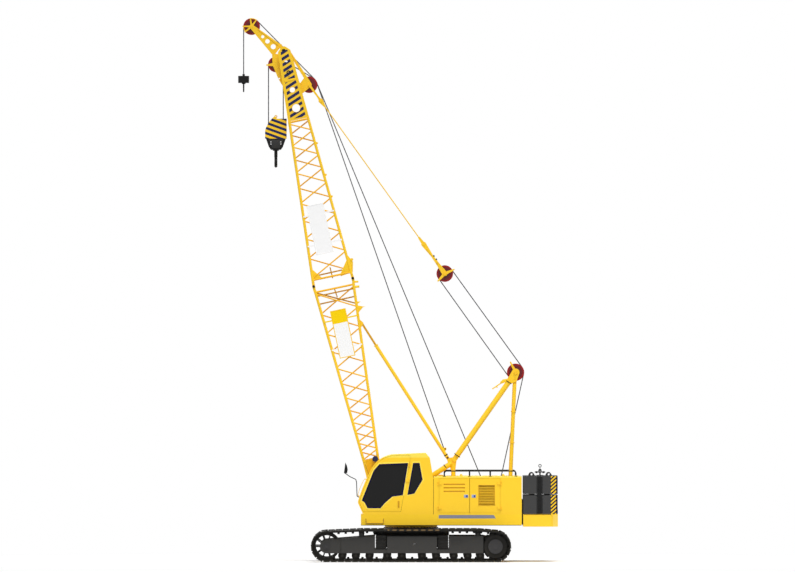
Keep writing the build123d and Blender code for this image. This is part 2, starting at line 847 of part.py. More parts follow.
# Handrails along both houses' roofs
with BuildPart() as handrails:
    for hand in (1, -1):
        rail_plane = side(hand * (half_width - rail_inset))
        with BuildLine(rail_plane) as rail_path:
            FilletPolyline(
                (rail_front, house_top + seat), (rail_front, rail_height),
                (rail_rear, rail_height), (rail_rear, house_top + seat), radius=70,
            )
        with BuildSketch(Plane(origin=spot(rail_front, hand * (half_width - rail_inset), house_top + seat))):
            Circle(rail_diameter / 2)
        sweep(path=rail_path.line)
        for forward in rail_posts:
            foot = spot(forward, hand * (half_width - rail_inset), house_top + seat)
            add(bar(foot, foot + Vector(0, 0, rail_height - house_top), rail_diameter))
keep(handrails, "handrails")

# Engine, a plain block on two rails in the right house
with BuildPart() as engine:
    engine_floor = deck_top + seat
    middle = -cab_middle
    low = (engine_middle - engine_length / 2, engine_floor + 80)
    high = (engine_middle + engine_length / 2, engine_floor + 80 + engine_height)
    block(side(middle), low, high, engine_width / 2)
    for edge in (-1, 1):
        rail = side(middle + edge * engine_width / 3)
        block(rail, (low[0], engine_floor), (high[0], engine_floor + 80), 40)
keep(engine, "engine")

# Winch drums in their stands, two for hoisting and one for luffing
drum_half = beam_inner - 10
with BuildPart() as drums:
    for forward in drum_places:
        disc(side(0), (forward, drum_height), drum_radius, drum_half)
        for edge in (-1, 1):
            flange = side(edge * (drum_half - drum_flange / 2))
            disc(flange, (forward, drum_height), drum_flange_radius, drum_flange / 2)
keep(drums, "drums")
with BuildPart() as drum_stands:
    for forward in drum_places:
        for edge in (-1, 1):
            stand = side(edge * (drum_half + seat + drum_stand / 2))
            foot_line = deck_top + seat
            rounds = [(forward, drum_height, 150), (forward - 180, foot_line + 30, 30),
                      (forward + 180, foot_line + 30, 30)]
            web(stand, rounds, drum_stand / 2)
keep(drum_stands, "drum_stands")

# Gantry: posts, front struts and hub; the mast that carries the sheaves; the rear legs
with BuildPart() as gantry_base:
    members = []
    for hand in (1, -1):
        left = hand * gantry_half
        post_foot = spot(post_place, left, deck_top + seat)
        members.append(bar(post_foot, spot(post_place, left, gantry_hub[1]), post_diameter))
        hub = spot(gantry_hub[0], left, gantry_hub[1])
        members.append(bar(spot(strut_foot[0], left, strut_foot[1]), hub, strut_diameter))
    forward, up = hub_tube_place
    ends = (spot(forward, -gantry_half, up), spot(forward, gantry_half, up))
    members.append(bar(*ends, hub_tube_diameter))
    add(members)
    for hand in (1, -1):
        gusset = side(hand * gantry_half)
        web(gusset, [(*gantry_hub, 95), (*mast_pin, 60), (*backstop_foot, 55), (post_place, 2650, 60)], 25)
        disc(gusset, mast_pin, foot_pin_radius, 50)
        boss_outer = gantry_half - 25
        eye_outer = backstop_eye_middle + backstop_eye_thickness / 2 + side_play
        boss = side(hand * (boss_outer + eye_outer) / 2)
        disc(boss, backstop_foot, 50, (boss_outer - eye_outer) / 2)
        pin_inner = backstop_eye_middle - backstop_eye_thickness / 2 - side_play
        pin = side(hand * (eye_outer + pin_inner) / 2)
        disc(pin, backstop_foot, backstop_pin_radius, (eye_outer - pin_inner) / 2)
        lug_room = side(hand * foot_half)
        clear_half = foot_plate / 2 + side_play
        block(lug_room, (strut_foot[0] - 160, deck_top), (strut_foot[0] + 200, strut_foot[1] + 400),
              clear_half + foot_lug + 100, Mode.SUBTRACT)
        eye = [(*strut_foot, 85), (strut_foot[0] - 200, strut_foot[1] + 200 * 0.643, 70)]
        web(lug_room, eye, clear_half - seat)
        disc(lug_room, strut_foot, foot_pin_radius, clear_half + foot_lug)
keep(gantry_base, "gantry_base")

mast_vector = Vector(gantry_top[0] - mast_pin[0], 0, gantry_top[1] - mast_pin[1])
mast_length = mast_vector.length
mast_dir = mast_vector.normalized()
mast_line = (mast_dir.X, mast_dir.Z)


def mast_spot(distance, left):
    """A point of the mast, measured from its pin."""
    return spot(mast_pin[0] + distance * mast_dir.X, left, mast_pin[1] + distance * mast_dir.Z)


leg_offset = Vector(leg_pin[0] - gantry_top[0], 0, leg_pin[1] - gantry_top[1])
leg_on_mast = (
    mast_length + leg_offset.dot(mast_dir),
    leg_offset.dot(Vector(mast_dir.Z, 0, -mast_dir.X)),
)
with BuildPart() as gantry_mast:
    joint = mast_length - 330
    tubes = []
    for hand in (1, -1):
        left = hand * gantry_half
        tubes.append(bar(mast_spot(150, left), mast_spot(joint, left), mast_diameter))
        for start in (130, joint - 20):
            tubes.append(bar(mast_spot(start, left), mast_spot(start + 30, left), mast_diameter + 20))
    cross = mast_length - 400
    tubes.append(bar(mast_spot(cross, -gantry_half), mast_spot(cross, gantry_half), mast_diameter - 30))
    shaft_end = gantry_half + 30
    tubes.append(bar(mast_spot(mast_length, -shaft_end), mast_spot(mast_length, shaft_end), 2 * shaft_radius))
    add(tubes)
    for hand in (1, -1):
        for edge in (-1, 1):
            fork = link_side(mast_pin, mast_line, hand * gantry_half + edge * (25 + seat + 12))
            web(fork, [(0, 0, 70), (160, 0, 70)], 12)
            disc(fork, (0, 0), foot_pin_radius + seat, 20, Mode.SUBTRACT)
        head = link_side(mast_pin, mast_line, hand * gantry_half)
        web(head, [(mast_length, 0, 110), (joint, 0, 80), (*leg_on_mast, 60)], 20)
        disc(head, leg_on_mast, 34 + seat, 30, Mode.SUBTRACT)
        inner = link_side(mast_pin, mast_line, hand * (bracket_half - bracket_plate / 2))
        web(inner, [(mast_length, 0, 90), (cross, 0, 55)], bracket_plate / 2)
        web(inner, [(mast_length, 0, 45), (mast_length + 150, 285, 20)], bracket_plate / 2)
    guard = link_side(mast_pin, mast_line, 0)
    disc(guard, (mast_length + 150, 285), 12, bracket_half)
keep(gantry_mast, "gantry_mast")

with BuildPart() as gantry_sheaves:
    top = link_side(gantry_top, stay_dir, 0)
    sheave(top, (0, 0), gantry_sheave_radius, row(gantry_sheave_count, sheave_pitch), shaft_radius + pin_play)
keep(gantry_sheaves, "gantry_sheaves")

with BuildPart() as gantry_legs:
    legs = []
    for hand in (1, -1):
        left = hand * leg_half
        foot = spot(leg_foot, left, deck_top + seat)
        head = spot(*leg_pin[:1], left, leg_pin[1])
        direction = (head - foot).normalized()
        legs.append(bar(foot + Vector(0, 0, 12), head - direction * 110, leg_diameter))
        legs.append(bar(foot, foot + Vector(0, 0, 20), leg_diameter + 30))
        for height in (2060, 2960):
            ring = foot + direction * height
            legs.append(bar(ring, ring + direction * 24, leg_diameter + 36))
    add(legs)
    for hand in (1, -1):
        head_inner = gantry_half - 20
        eye = side(hand * (head_inner - side_play - 22))
        web(eye, [(*leg_pin, 60), (leg_pin[0] + 8, leg_pin[1] - 150, 50)], 22)
        disc(side(hand * head_inner), leg_pin, 34, 30)
keep(gantry_legs, "gantry_legs")

# Backstops: tubes hinged on the gantry's hub and the rods that slide in them up to the boom
with BuildPart() as backstop_tubes:
    for hand in (1, -1):
        left = hand * backstop_eye_middle
        lane = link_side(backstop_foot, backstop_dir, left)
        base = spot(backstop_foot[0], left, backstop_foot[1])
        along = Vector(backstop_dir[0], 0, backstop_dir[1])
        add(bar(base + along * 110, base + along * backstop_tube_length, backstop_tube_diameter))
        web(lane, [(0, 0, 46), (140, 0, 42)], backstop_eye_thickness / 2)
        disc(lane, (0, 0), backstop_pin_radius + pin_play, backstop_eye_thickness, Mode.SUBTRACT)
        with BuildSketch(Plane(origin=base + along * (backstop_tube_length + 1), z_dir=along * -1)) as bore:
            Circle(backstop_rod_diameter / 2 + 1)
        extrude(bore.sketch, amount=backstop_tube_length - 400, mode=Mode.SUBTRACT)
        web(lane, [(334, -80, 34), (284, -20, 20), (384, -20, 20)], 8)
keep(backstop_tubes, "backstop_tubes")

with BuildPart() as backstop_rods:
    for hand in (1, -1):
        left = hand * backstop_eye_middle
        lane = link_side(backstop_foot, backstop_dir, left)
        base = spot(backstop_foot[0], left, backstop_foot[1])
        along = Vector(backstop_dir[0], 0, backstop_dir[1])
        rod_start = base + along * (backstop_length - backstop_rod_length)
        add(bar(rod_start, base + along * (backstop_length - 150), backstop_rod_diameter))
        web(lane, [(backstop_length, 0, 32), (backstop_length - 170, 0, 28)], backstop_eye_thickness / 2)
        eye_outer = backstop_eye_middle + backstop_eye_thickness / 2
        reach = backstop_lug_inner - seat - eye_outer
        stub = link_side(backstop_foot, backstop_dir, hand * (eye_outer + reach / 2))
        disc(stub, (backstop_length, 0), backstop_pin_radius, reach / 2)
keep(backstop_rods, "backstop_rods")


# Boom
def half_depth(along):
    """Half the distance between front and rear chords."""
    if along <= joint_along:
        low, high = (foot_taper_start, foot_depth_half), (joint_along, joint_depth_half)
    else:
        low, high = (joint_along, joint_depth_half), (head_end, head_depth_half)
    return low[1] + (high[1] - low[1]) * (along - low[0]) / (high[0] - low[0])


def half_spread(along):
    """Half the distance between left and right chords."""
    if along <= joint_along:
        return foot_half
    return foot_half + (head_half - foot_half) * (along - joint_along) / (head_start - joint_along)


def chord_spot(along, front_side, left_side):
    """A point on the centre line of a chord, chosen by its sides."""
    return boom_spot(along, front_side * half_depth(along), left_side * half_spread(along))


def lattice(start, end, side_bays, rung_ends):
    """Loose bars of a section: four chords, end frames and zigzag lacing on all four faces."""
    bars = []
    for front_side in (1, -1):
        for left_side in (1, -1):
            bars.append(bar(chord_spot(start, front_side, left_side),
                            chord_spot(end, front_side, left_side), chord_diameter))
    for along in rung_ends:
        for one in (1, -1):
            bars.append(bar(chord_spot(along, one, 1), chord_spot(along, one, -1), frame_bar_diameter))
            bars.append(bar(chord_spot(along, 1, one), chord_spot(along, -1, one), frame_bar_diameter))
    low, high = min(rung_ends), max(rung_ends)
    ratio = (half_depth(high) / half_depth(low)) ** (1 / side_bays)
    steps = [ratio**i for i in range(side_bays)]
    nodes = [low + 30]
    for step in steps:
        nodes.append(nodes[-1] + (high - low - 60) * step / sum(steps))
    for i, (near, far) in enumerate(zip(nodes, nodes[1:])):
        turn = 1 if i % 2 == 0 else -1
        for one in (1, -1):
            bars.append(bar(chord_spot(near + 20, turn * one, one), chord_spot(far - 20, -turn * one, one),
                            lacing_diameter))
            bars.append(bar(chord_spot(near + 20, one, turn * one), chord_spot(far - 20, one, -turn * one),
                            lacing_diameter))
    return bars


coupling_low = joint_along - coupling_half
coupling_high = joint_along + coupling_half
pin_half = chord_diameter / 2 + 6
tongue = 15  # half thickness of a coupling's tongue
with BuildPart() as boom_foot_section:
    bars = lattice(foot_taper_start - 30, coupling_low, 12, (foot_taper_start, coupling_low - 60))
    add(bars)
    for hand in (1, -1):
        base = boom_side(hand * foot_half)
        rounds = [(0, 0, foot_boss_radius), (700, foot_depth_half, 20), (700, -foot_depth_half, 20),
                  (foot_taper_start, foot_depth_half, 36), (foot_taper_start, -foot_depth_half, 36)]
        web(base, rounds, foot_plate / 2)
        disc(base, (0, 0), foot_pin_radius + pin_play, foot_plate, Mode.SUBTRACT)
        for front_side in (1, -1):
            for edge in (-1, 1):
                shift = edge * (tongue + seat + 12)
                spread = half_spread(joint_along)
                fork = boom_side(hand * spread + shift)
                depth = front_side * half_depth(joint_along)
                web(fork, [(joint_along, depth, 42), (coupling_low - 20, depth, 36)], 12)
                disc(fork, (joint_along, depth), 26, 20, Mode.SUBTRACT)
        lug = boom_side(hand * (backstop_lug_inner + 9))
        lug_along, lug_front = backstop_head
        rounds = [(lug_along, lug_front, 42), (lug_along + 150, -half_depth(lug_along + 150), 14),
                  (lug_along - 130, -half_depth(lug_along - 130), 14)]
        web(lug, rounds, 9)
keep(boom_foot_section, "boom_foot_section")

with BuildPart() as boom_head_section:
    bars = lattice(coupling_high, head_start + 20, 10, (coupling_high + 60, head_start - 40))
    add(bars)
    across = Plane(origin=boom_spot(head_start, 0, 0), z_dir=(boom_along[0], 0, boom_along[1]))
    with BuildSketch(across) as cut:
        Rectangle(2000, 2000)
    extrude(cut.sketch, amount=200, mode=Mode.SUBTRACT)
    for hand in (1, -1):
        for front_side in (1, -1):
            tab = boom_side(hand * half_spread(joint_along))
            depth = front_side * half_depth(joint_along)
            end = (coupling_high + 20, front_side * half_depth(coupling_high + 20), 36)
            web(tab, [(joint_along, depth, 42), end], tongue)
            disc(tab, (joint_along, depth), 26, 20, Mode.SUBTRACT)
keep(boom_head_section, "boom_head_section")

with BuildPart() as coupling_pins:
    for hand in (1, -1):
        for front_side in (1, -1):
            place = (joint_along, front_side * half_depth(joint_along))
            disc(boom_side(hand * half_spread(joint_along)), place, 26 - seat, pin_half)
keep(coupling_pins, "boom_coupling_pins")

# Boom head: side plates with a rounded cap, edge flanges, cross tubes and the sheave brackets
with BuildPart() as boom_head:
    flange = 36
    low = head_start + seat
    for hand in (1, -1):
        cheek_side = boom_side(hand * head_half)
        rounds = []
        for front_side in (1, -1):
            rounds.append((low - 20, front_side * (half_depth(head_start) + flange - 8), 8))
            rounds.append((head_end, front_side * (head_depth_half + flange - 60), 60))
        rounds.append((head_end + 60, 0, 107))
        web(cheek_side, rounds, head_plate / 2)
        for place, radius in ((jib_bore_place, jib_bore_radius), (wide_hole_place, wide_hole_radius)):
            disc(cheek_side, place, radius, head_plate, Mode.SUBTRACT)
        for front_side in (1, -1):
            ends = [boom_spot(low - 20, front_side * half_depth(head_start), hand * (head_half - 20)),
                    boom_spot(head_end, front_side * head_depth_half, hand * (head_half - 20))]
            add(bar(*ends, 70))
    ties = []
    for along, share in ((11400, 0.9), (11400, -0.9), (12444, -0.75), (13260, 0.4), (13260, -0.4)):
        depth = share * half_depth(along)
        ties.append(bar(boom_spot(along, depth, -head_half), boom_spot(along, depth, head_half), 80))
    for hand in (1, -1):
        for along, front in ((12300, 205), (13100, 90), (12150, -190), (13100, -120)):
            ties.append(bar(boom_spot(along, front, hand * (bracket_half - 10)),
                            boom_spot(along, front, hand * head_half), 60))
    ties.append(bar(boom_spot(12600, 0, -head_half), boom_spot(12600, 0, head_half), 110))
    ties.append(bar(boom_spot(12600, 0, -head_half - 40), boom_spot(12600, 0, head_half + 40), 70))
    shaft_end = bracket_half - 5
    for place in (main_sheave_place, guide_sheave_place):
        ties.append(bar(boom_spot(*place, -shaft_end), boom_spot(*place, shaft_end), 2 * shaft_radius))
    plate_middle = bracket_half - bracket_plate / 2
    for hand in (1, -1):
        bracket = boom_side(hand * plate_middle)
        web(bracket, [(*main_sheave_place, 95), (*jib_pin_places[1], 38), (13200, 70, 20), (12250, 200, 20),
                      (12560, 285, 45)], bracket_plate / 2)
        web(bracket, [(*jib_pin_places[0], 38), (13260, 60, 38), (13200, 90, 20)], bracket_plate / 2)
        for place in jib_pin_places:
            disc(bracket, place, jib_pin_radius + seat, bracket_plate, Mode.SUBTRACT)
        web(bracket, [(*main_sheave_place, 60), (13017, 575, 18)], bracket_plate / 2)
        disc(bracket, (12560, 304), 22, bracket_plate, Mode.SUBTRACT)
        web(bracket, [(*guide_sheave_place, 75), (13270, -150, 25), (12000, -215, 25), (13200, -80, 20),
                      (12100, -120, 20)], bracket_plate / 2)
        window = [(12960, -215), (12420, -400), (12300, -260), (12420, -230)]
        plate(bracket, window, bracket_plate, Mode.SUBTRACT)
    add(ties)
    block(boom_side(0), (low - 400, -900), (low, 900), 900, Mode.SUBTRACT)
keep(boom_head, "boom_head")

with BuildPart() as main_sheaves:
    sheave(boom_side(0), main_sheave_place, main_sheave_radius, row(main_sheave_count, sheave_pitch),
           shaft_radius + pin_play)
keep(main_sheaves, "main_head_sheaves")

with BuildPart() as guide_sheaves:
    sheave(boom_side(0), guide_sheave_place, guide_sheave_radius, row(2, 2 * sheave_pitch),
           shaft_radius + seat)
keep(guide_sheaves, "guide_sheaves")

# Auxiliary jib: two plates with three round holes each, tied to the boom's head
jib_half = 80
with BuildPart() as aux_jib:
    for hand in (1, -1):
        jib_side = boom_side(hand * (jib_half + jib_plate / 2))
        outline = [(*aux_sheave_place, 62)] + [(*place, 24) for place in jib_pin_places]
        web(jib_side, outline, jib_plate / 2)
        for along, front, radius in ((13845, 520, 47), (13686, 413, 66), (13499, 282, 75)):
            disc(jib_side, (along, front), radius, jib_plate, Mode.SUBTRACT)
        for reach, rise in ((231, -13), (159, -175), (60, 245), (-113, 222)):
            arm = [(*aux_sheave_place, 32), (aux_sheave_place[0] + reach, aux_sheave_place[1] + rise, 16)]
            web(jib_side, arm, jib_plate / 2)
        disc(jib_side, aux_sheave_place, shaft_radius, jib_plate / 2 + 4)
    ties = []
    for place, width in ((aux_sheave_place, 2 * shaft_radius), ((13965, 605), 40)):
        ties.append(bar(boom_spot(*place, -jib_half - 5), boom_spot(*place, jib_half + 5), width))
    for place in jib_pin_places:
        ends = (boom_spot(*place, -bracket_half), boom_spot(*place, bracket_half))
        ties.append(bar(*ends, 2 * jib_pin_radius))
    add(ties)
keep(aux_jib, "aux_jib")

with BuildPart() as aux_sheave:
    sheave(boom_side(0), aux_sheave_place, aux_sheave_radius, [0], shaft_radius + pin_play)
keep(aux_sheave, "aux_sheave")

# Blank boards on both sides of the boom, each on two ribs across its chords
def face_side(along, hand):
    """The plane that touches the outside of the boom's chords, with x along the boom."""
    reach = chord_diameter / 2 + seat
    origin = boom_spot(along, 0, hand * (half_spread(along) + reach))
    ahead = boom_spot(along + 100, 0, hand * (half_spread(along + 100) + reach)) - origin
    front = Vector(boom_front[0], 0, boom_front[1])
    return Plane(origin=origin, x_dir=ahead, z_dir=ahead.cross(front))


with BuildPart() as boards:
    for hand in (1, -1):
        for along, front, length, width in ((8050, 60, 1450, 500), (4950, 40, 1400, 460)):
            touching = face_side(along, hand)
            for reach in (-0.3 * length, 0.3 * length):
                depth = half_depth(along + reach)
                block(touching.offset(hand * 4), (reach - 20, -depth), (reach + 20, depth), 4)
            low, high = (-length / 2, front - width / 2), (length / 2, front + width / 2)
            block(touching.offset(hand * 10), low, high, 3)
keep(boards, "boom_boards")

# Bridle and pendants
with BuildPart() as bridle:
    for hand in (1, -1):
        lane = link_side(gantry_top, stay_dir, hand * (bracket_half - bracket_plate / 2))
        web(lane, [(bridle_distance, 0, 75), (bridle_distance + 420, 0, 38)], bracket_plate / 2)
        for across in (1, -1):
            web(lane, [(bridle_distance, 0, 50), (bridle_distance - 60, across * 285, 20)], bracket_plate / 2)
    joins = link_side(gantry_top, stay_dir, 0)
    disc(joins, (bridle_distance, 0), shaft_radius, bracket_half - 2)
    for along, across in ((420, 0), (-60, 285), (-60, -285)):
        disc(joins, (bridle_distance + along, across), 18, bracket_half)
    disc(joins, (bridle_distance + 420, 0), 30, pendant_inner + pendant_thickness)
keep(bridle, "bridle")

with BuildPart() as bridle_sheaves:
    sheave(link_side(gantry_top, stay_dir, 0), (bridle_distance, 0), bridle_sheave_radius,
           row(gantry_sheave_count, sheave_pitch), shaft_radius + seat)
keep(bridle_sheaves, "bridle_sheaves")

with BuildPart() as pendants:
    stay_up = Vector(stay_dir[0], 0, stay_dir[1])
    for hand in (1, -1):
        middle = hand * (pendant_inner + pendant_thickness / 2)
        lane = link_side(gantry_top, stay_dir, middle)
        start = spot(gantry_top[0], middle, gantry_top[1])
        half = pendant_thickness / 2
        web(lane, [(bridle_distance + 420, 0, 44), (lower_eye_distance - 420, 0, 30)], half)
        disc(lane, (bridle_distance + 420, 0), 30 + seat, pendant_thickness, Mode.SUBTRACT)
        web(lane, [(lower_eye_distance, 0, 72), (lower_eye_distance - 430, 0, 32)], half)
        web(lane, [(lower_eye_distance, 0, 50), (lower_eye_distance + 230, 0, 30)], half)
        add(bar(start + stay_up * (lower_eye_distance + 200), start + stay_up * (upper_eye_distance - 180),
                pendant_diameter))
        web(lane, [(upper_eye_distance, 0, 66), (upper_eye_distance - 210, 0, 26)], half)
        web(lane, [(upper_eye_distance, 0, 44), (upper_eye_distance + 150, 0, 26)], half)
        web(lane, [(upper_eye_distance + 150, 0, 26), (stay_length, 0, 34)], half)
        reach = pendant_inner - bracket_half - seat
        stub = link_side(gantry_top, stay_dir, hand * (pendant_inner - reach / 2))
        disc(stub, (stay_length, 0), 30, reach / 2)
keep(pendants, "pendants")

# Counterweight: a tray behind the tail, two slabs with lifting lugs, and the keepers in their sides
with BuildPart() as tray:
    with BuildSketch(level(tray_bottom)):
        with BuildLine():
            Polyline(
                (tray_front, half_width), (tray_rear + slab_chamfer, half_width),
                (tray_rear, half_width - slab_chamfer), (tray_rear, -half_width + slab_chamfer),
                (tray_rear + slab_chamfer, -half_width), (tray_front, -half_width), close=True,
            )
        make_face()
    extrude(amount=tray_top - tray_bottom)
keep(tray, "counterweight_tray")

slab_bases = (tray_top + seat, slab_split + slab_gap)
for name, base, top in (("lower", slab_bases[0], slab_split), ("upper", slab_bases[1], slab_top)):
    with BuildPart() as slab:
        with BuildSketch(level(base)):
            with BuildLine():
                Polyline(
                    (tray_front, half_width), (slab_rear + slab_chamfer, half_width),
                    (slab_rear, half_width - slab_chamfer), (slab_rear, -half_width + slab_chamfer),
                    (slab_rear + slab_chamfer, -half_width), (tray_front, -half_width), close=True,
                )
            make_face()
        extrude(amount=top - base)
        for hand in (1, -1):
            channel = side(hand * half_width)
            low = (keeper_middle - keeper_width / 2, base - 1)
            block(channel, low, (keeper_middle + keeper_width / 2, top + 1), keeper_depth, Mode.SUBTRACT)
        if name == "upper":
            with BuildSketch(level(slab_split + seat)):
                with Locations((tray_front - 250, 0), (slab_rear + 300, 0)):
                    with GridLocations(0, 1000, 1, 3):
                        Rectangle(160, 300)
            extrude(amount=slab_gap + 1)
            for hand in (1, -1):
                for forward in (tray_front - 250, slab_rear + 250):
                    lug = side(hand * 1000)
                    low, far = (forward - 90, top - 20, 15), (forward + 90, top - 20, 15)
                    web(lug, [(forward, top + 25, 75), low, far], lug_thickness / 2)
                    disc(lug, (forward, top + 38), lug_bore_radius, lug_thickness, Mode.SUBTRACT)
    keep(slab, f"counterweight_{name}")

# Fittings of the counterweight: the keepers in its sides and the lifting gear on top of it, which is a
# stand, a bar across it and the first links of a hanging chain
chain_link = 38
chain_wire = 10
chain_pitch = 68
with BuildPart() as fittings:
    for hand in (1, -1):
        strip = side(hand * (half_width - keeper_depth + seat + keeper_thickness / 2))
        reach = (keeper_width - keeper_gap) / 2
        low = (keeper_middle - reach, tray_top + seat)
        block(strip, low, (keeper_middle + reach, slab_top), keeper_thickness / 2)
    stand_foot = spot(keeper_middle - 20, 0, slab_top + seat)
    with BuildSketch(Plane(origin=stand_foot)):
        Rectangle(200, 160)
    extrude(amount=20)
    cross = Vector(stand_bar / 2, 0, 0)
    bar_place = stand_foot + Vector(0, 0, stand_height)
    add([bar(stand_foot, bar_place, 44), bar(bar_place - cross, bar_place + cross, 34)])
    for i in range(3):
        link_place = bar_place + Vector(0, 0, 45 + chain_pitch * i)
        ring = Plane(origin=link_place, z_dir=(0, 1, 0) if i % 2 == 0 else (1, 0, 0))
        add(ring * Torus(chain_link, chain_wire, mode=Mode.PRIVATE))
keep(fittings, "counterweight_fittings")

# Main hook block: striped cheeks around its sheaves, the weight below and the forged hook
block_middle = main_axis[0]
block_axis_height = block_bottom + 330
with BuildPart() as hook_block:
    for hand in (1, -1):
        cheek_face = side(hand * (block_half_width - cheek_plate / 2))
        with BuildSketch(cheek_face) as face:
            with BuildLine():
                Polyline(
                    (block_middle - block_half_length, block_bottom),
                    (block_middle + block_half_length, block_bottom),
                    (block_middle + block_half_length, block_bottom + 230),
                )
                ThreePointArc(
                    (block_middle + block_half_length, block_bottom + 230),
                    (block_middle + block_half_length - 90, block_bottom + 440),
                    (block_middle + 47, block_top - 12),
                )
                Polyline(
                    (block_middle + 47, block_top - 12), (block_middle - 40, block_top - 72),
                    (block_middle - block_half_length, block_top - 72),
                    (block_middle - block_half_length, block_bottom),
                )
            make_face()
        extrude(face.sketch, amount=cheek_plate / 2, both=True)
    middle_plane = side(0)
    disc(middle_plane, (block_middle, block_axis_height), shaft_radius, block_half_width - 2)
    for forward, up in ((-block_half_length + 30, 60), (block_half_length - 30, 60), (0, 30),
                        (-block_half_length + 30, 530), (30, 600)):
        disc(middle_plane, (block_middle + forward, block_bottom + up), 22, block_half_width - 2)
keep(hook_block, "hook_block")

with BuildPart() as block_sheaves:
    lefts = row(main_sheave_count, sheave_pitch)
    sheave(side(0), (block_middle, block_axis_height), main_sheave_radius, lefts, shaft_radius + seat, 52)
keep(block_sheaves, "hook_block_sheaves")

weight_top = block_bottom - seat
with BuildPart() as hook_weight:
    with BuildSketch(side(0)):
        with BuildLine():
            Polyline(
                (block_middle - block_half_length + 24, weight_top),
                (block_middle + block_half_length - 24, weight_top),
                (block_middle + block_half_length - 110, weight_bottom + 80),
                (block_middle + weight_foot_half, weight_bottom),
                (block_middle - weight_foot_half, weight_bottom),
                (block_middle - block_half_length + 110, weight_bottom + 80),
                close=True,
            )
        make_face()
    extrude(amount=block_half_width, both=True)
    with BuildSketch(level(weight_bottom)):
        with Locations((block_middle, 0)):
            Circle(stem_diameter / 2 + seat)
    extrude(amount=stem_depth, mode=Mode.SUBTRACT)
keep(hook_weight, "hook_block_weight")


def hook_shape(axis, top, bottom, diameter, throat, stem, name):
    """A single hook whose bowl lies across the machine, hanging on a round stem."""
    mean = (throat + diameter) / 2
    centre_height = bottom + diameter / 2 + mean
    with BuildPart() as hook:
        with BuildLine(Plane(origin=spot(axis, 0, 0), x_dir=(0, 1, 0), z_dir=(1, 0, 0))) as bowl:
            Line((0, centre_height + mean * 1.35), (0, centre_height + mean))
            ThreePointArc((0, centre_height + mean), (-mean * 0.94, centre_height + mean * 0.34),
                          (-mean * 0.94, centre_height - mean * 0.34))
            ThreePointArc((-mean * 0.94, centre_height - mean * 0.34), (0, centre_height - mean),
                          (mean, centre_height + mean * 0.1))
        bowl_start = Plane(origin=spot(axis, 0, centre_height + mean * 1.35), z_dir=(0, 0, -1))
        with BuildSketch(bowl_start) as section:
            Circle(diameter / 2 * 0.8)
        sweep(section.sketch, path=bowl.line, transition=Transition.ROUND)
        with Locations(spot(axis, mean, centre_height + mean * 0.1)):
            Sphere(diameter / 2 * 0.8)
        add(bar(spot(axis, 0, centre_height + mean * 1.2), spot(axis, 0, top), stem))
    keep(hook, name)


stem_top = weight_bottom + stem_depth - seat
hook_shape(block_middle, stem_top, hook_bottom, hook_diameter, hook_throat, stem_diameter, "main_hook")

with BuildPart() as aux_weight:
    with BuildSketch(Plane(origin=spot(aux_line, 0, aux_weight_bottom))):
        Circle(aux_weight_radius)
    extrude(amount=aux_weight_top - aux_weight_bottom)
    with BuildSketch(Plane(origin=spot(aux_line, 0, aux_weight_bottom))):
        Circle(aux_stem_diameter / 2 + seat)
    extrude(amount=aux_stem_depth, mode=Mode.SUBTRACT)
keep(aux_weight, "aux_hook_weight")

aux_stem_top = aux_weight_bottom + aux_stem_depth - seat
hook_shape(aux_line, aux_stem_top, aux_hook_bottom, aux_hook_diameter, aux_hook_throat,
           aux_stem_diameter, "aux_hook")

# Hoist ropes from the drums' rear sides up to the guide sheaves, each in a lower half that turns with
# the drum's angle and an upper half that draws away from it as the boom comes down
def hoist_rope(drum, left, name):
    """Both halves of a hoist rope, tangent to its drum and to its guide sheave."""
    base = Vector(drum, 0, drum_height)
    line = Vector(guide_axis[0], 0, guide_axis[1]) - base
    start_reach = drum_radius + seat + rope_diameter / 2
    end_reach = guide_sheave_radius - rope_diameter / 2
    rear = Vector(-line.Z, 0, line.X).normalized()
    shift = Vector(slew_x, left, 0)
    start = base + rear * start_reach + shift
    end = base + line + rear * end_reach + shift
    along = (end - start).normalized()
    middle = start + (end - start) * 0.5
    for half, ends in (("lower", (start, middle - along * rope_joint_gap / 2)),
                       ("upper", (middle + along * rope_joint_gap / 2, end))):
        with BuildPart() as rope:
            add(bar(*ends, rope_diameter))
        keep(rope, f"{name}_rope_{half}")


hoist_rope(drum_places[0], sheave_pitch, "main")
hoist_rope(drum_places[1], -sheave_pitch, "aux")

# Rope falls that carry the hooks
with BuildPart() as main_falls:
    falls = []
    for left in row(main_sheave_count, sheave_pitch):
        for edge in (-1, 1):
            forward = block_middle + edge * (main_sheave_radius - rope_diameter / 2)
            ends = (spot(forward, left, block_axis_height), spot(forward, left, main_axis[1]))
            falls.append(bar(*ends, rope_diameter))
    add(falls)
keep(main_falls, "main_falls")

with BuildPart() as aux_fall:
    add(bar(spot(aux_line, 0, aux_weight_top + seat), spot(aux_line, 0, aux_axis[1]), rope_diameter))
keep(aux_fall, "aux_fall")
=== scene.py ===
import json
import math

import bpy
from mathutils import Matrix, Vector


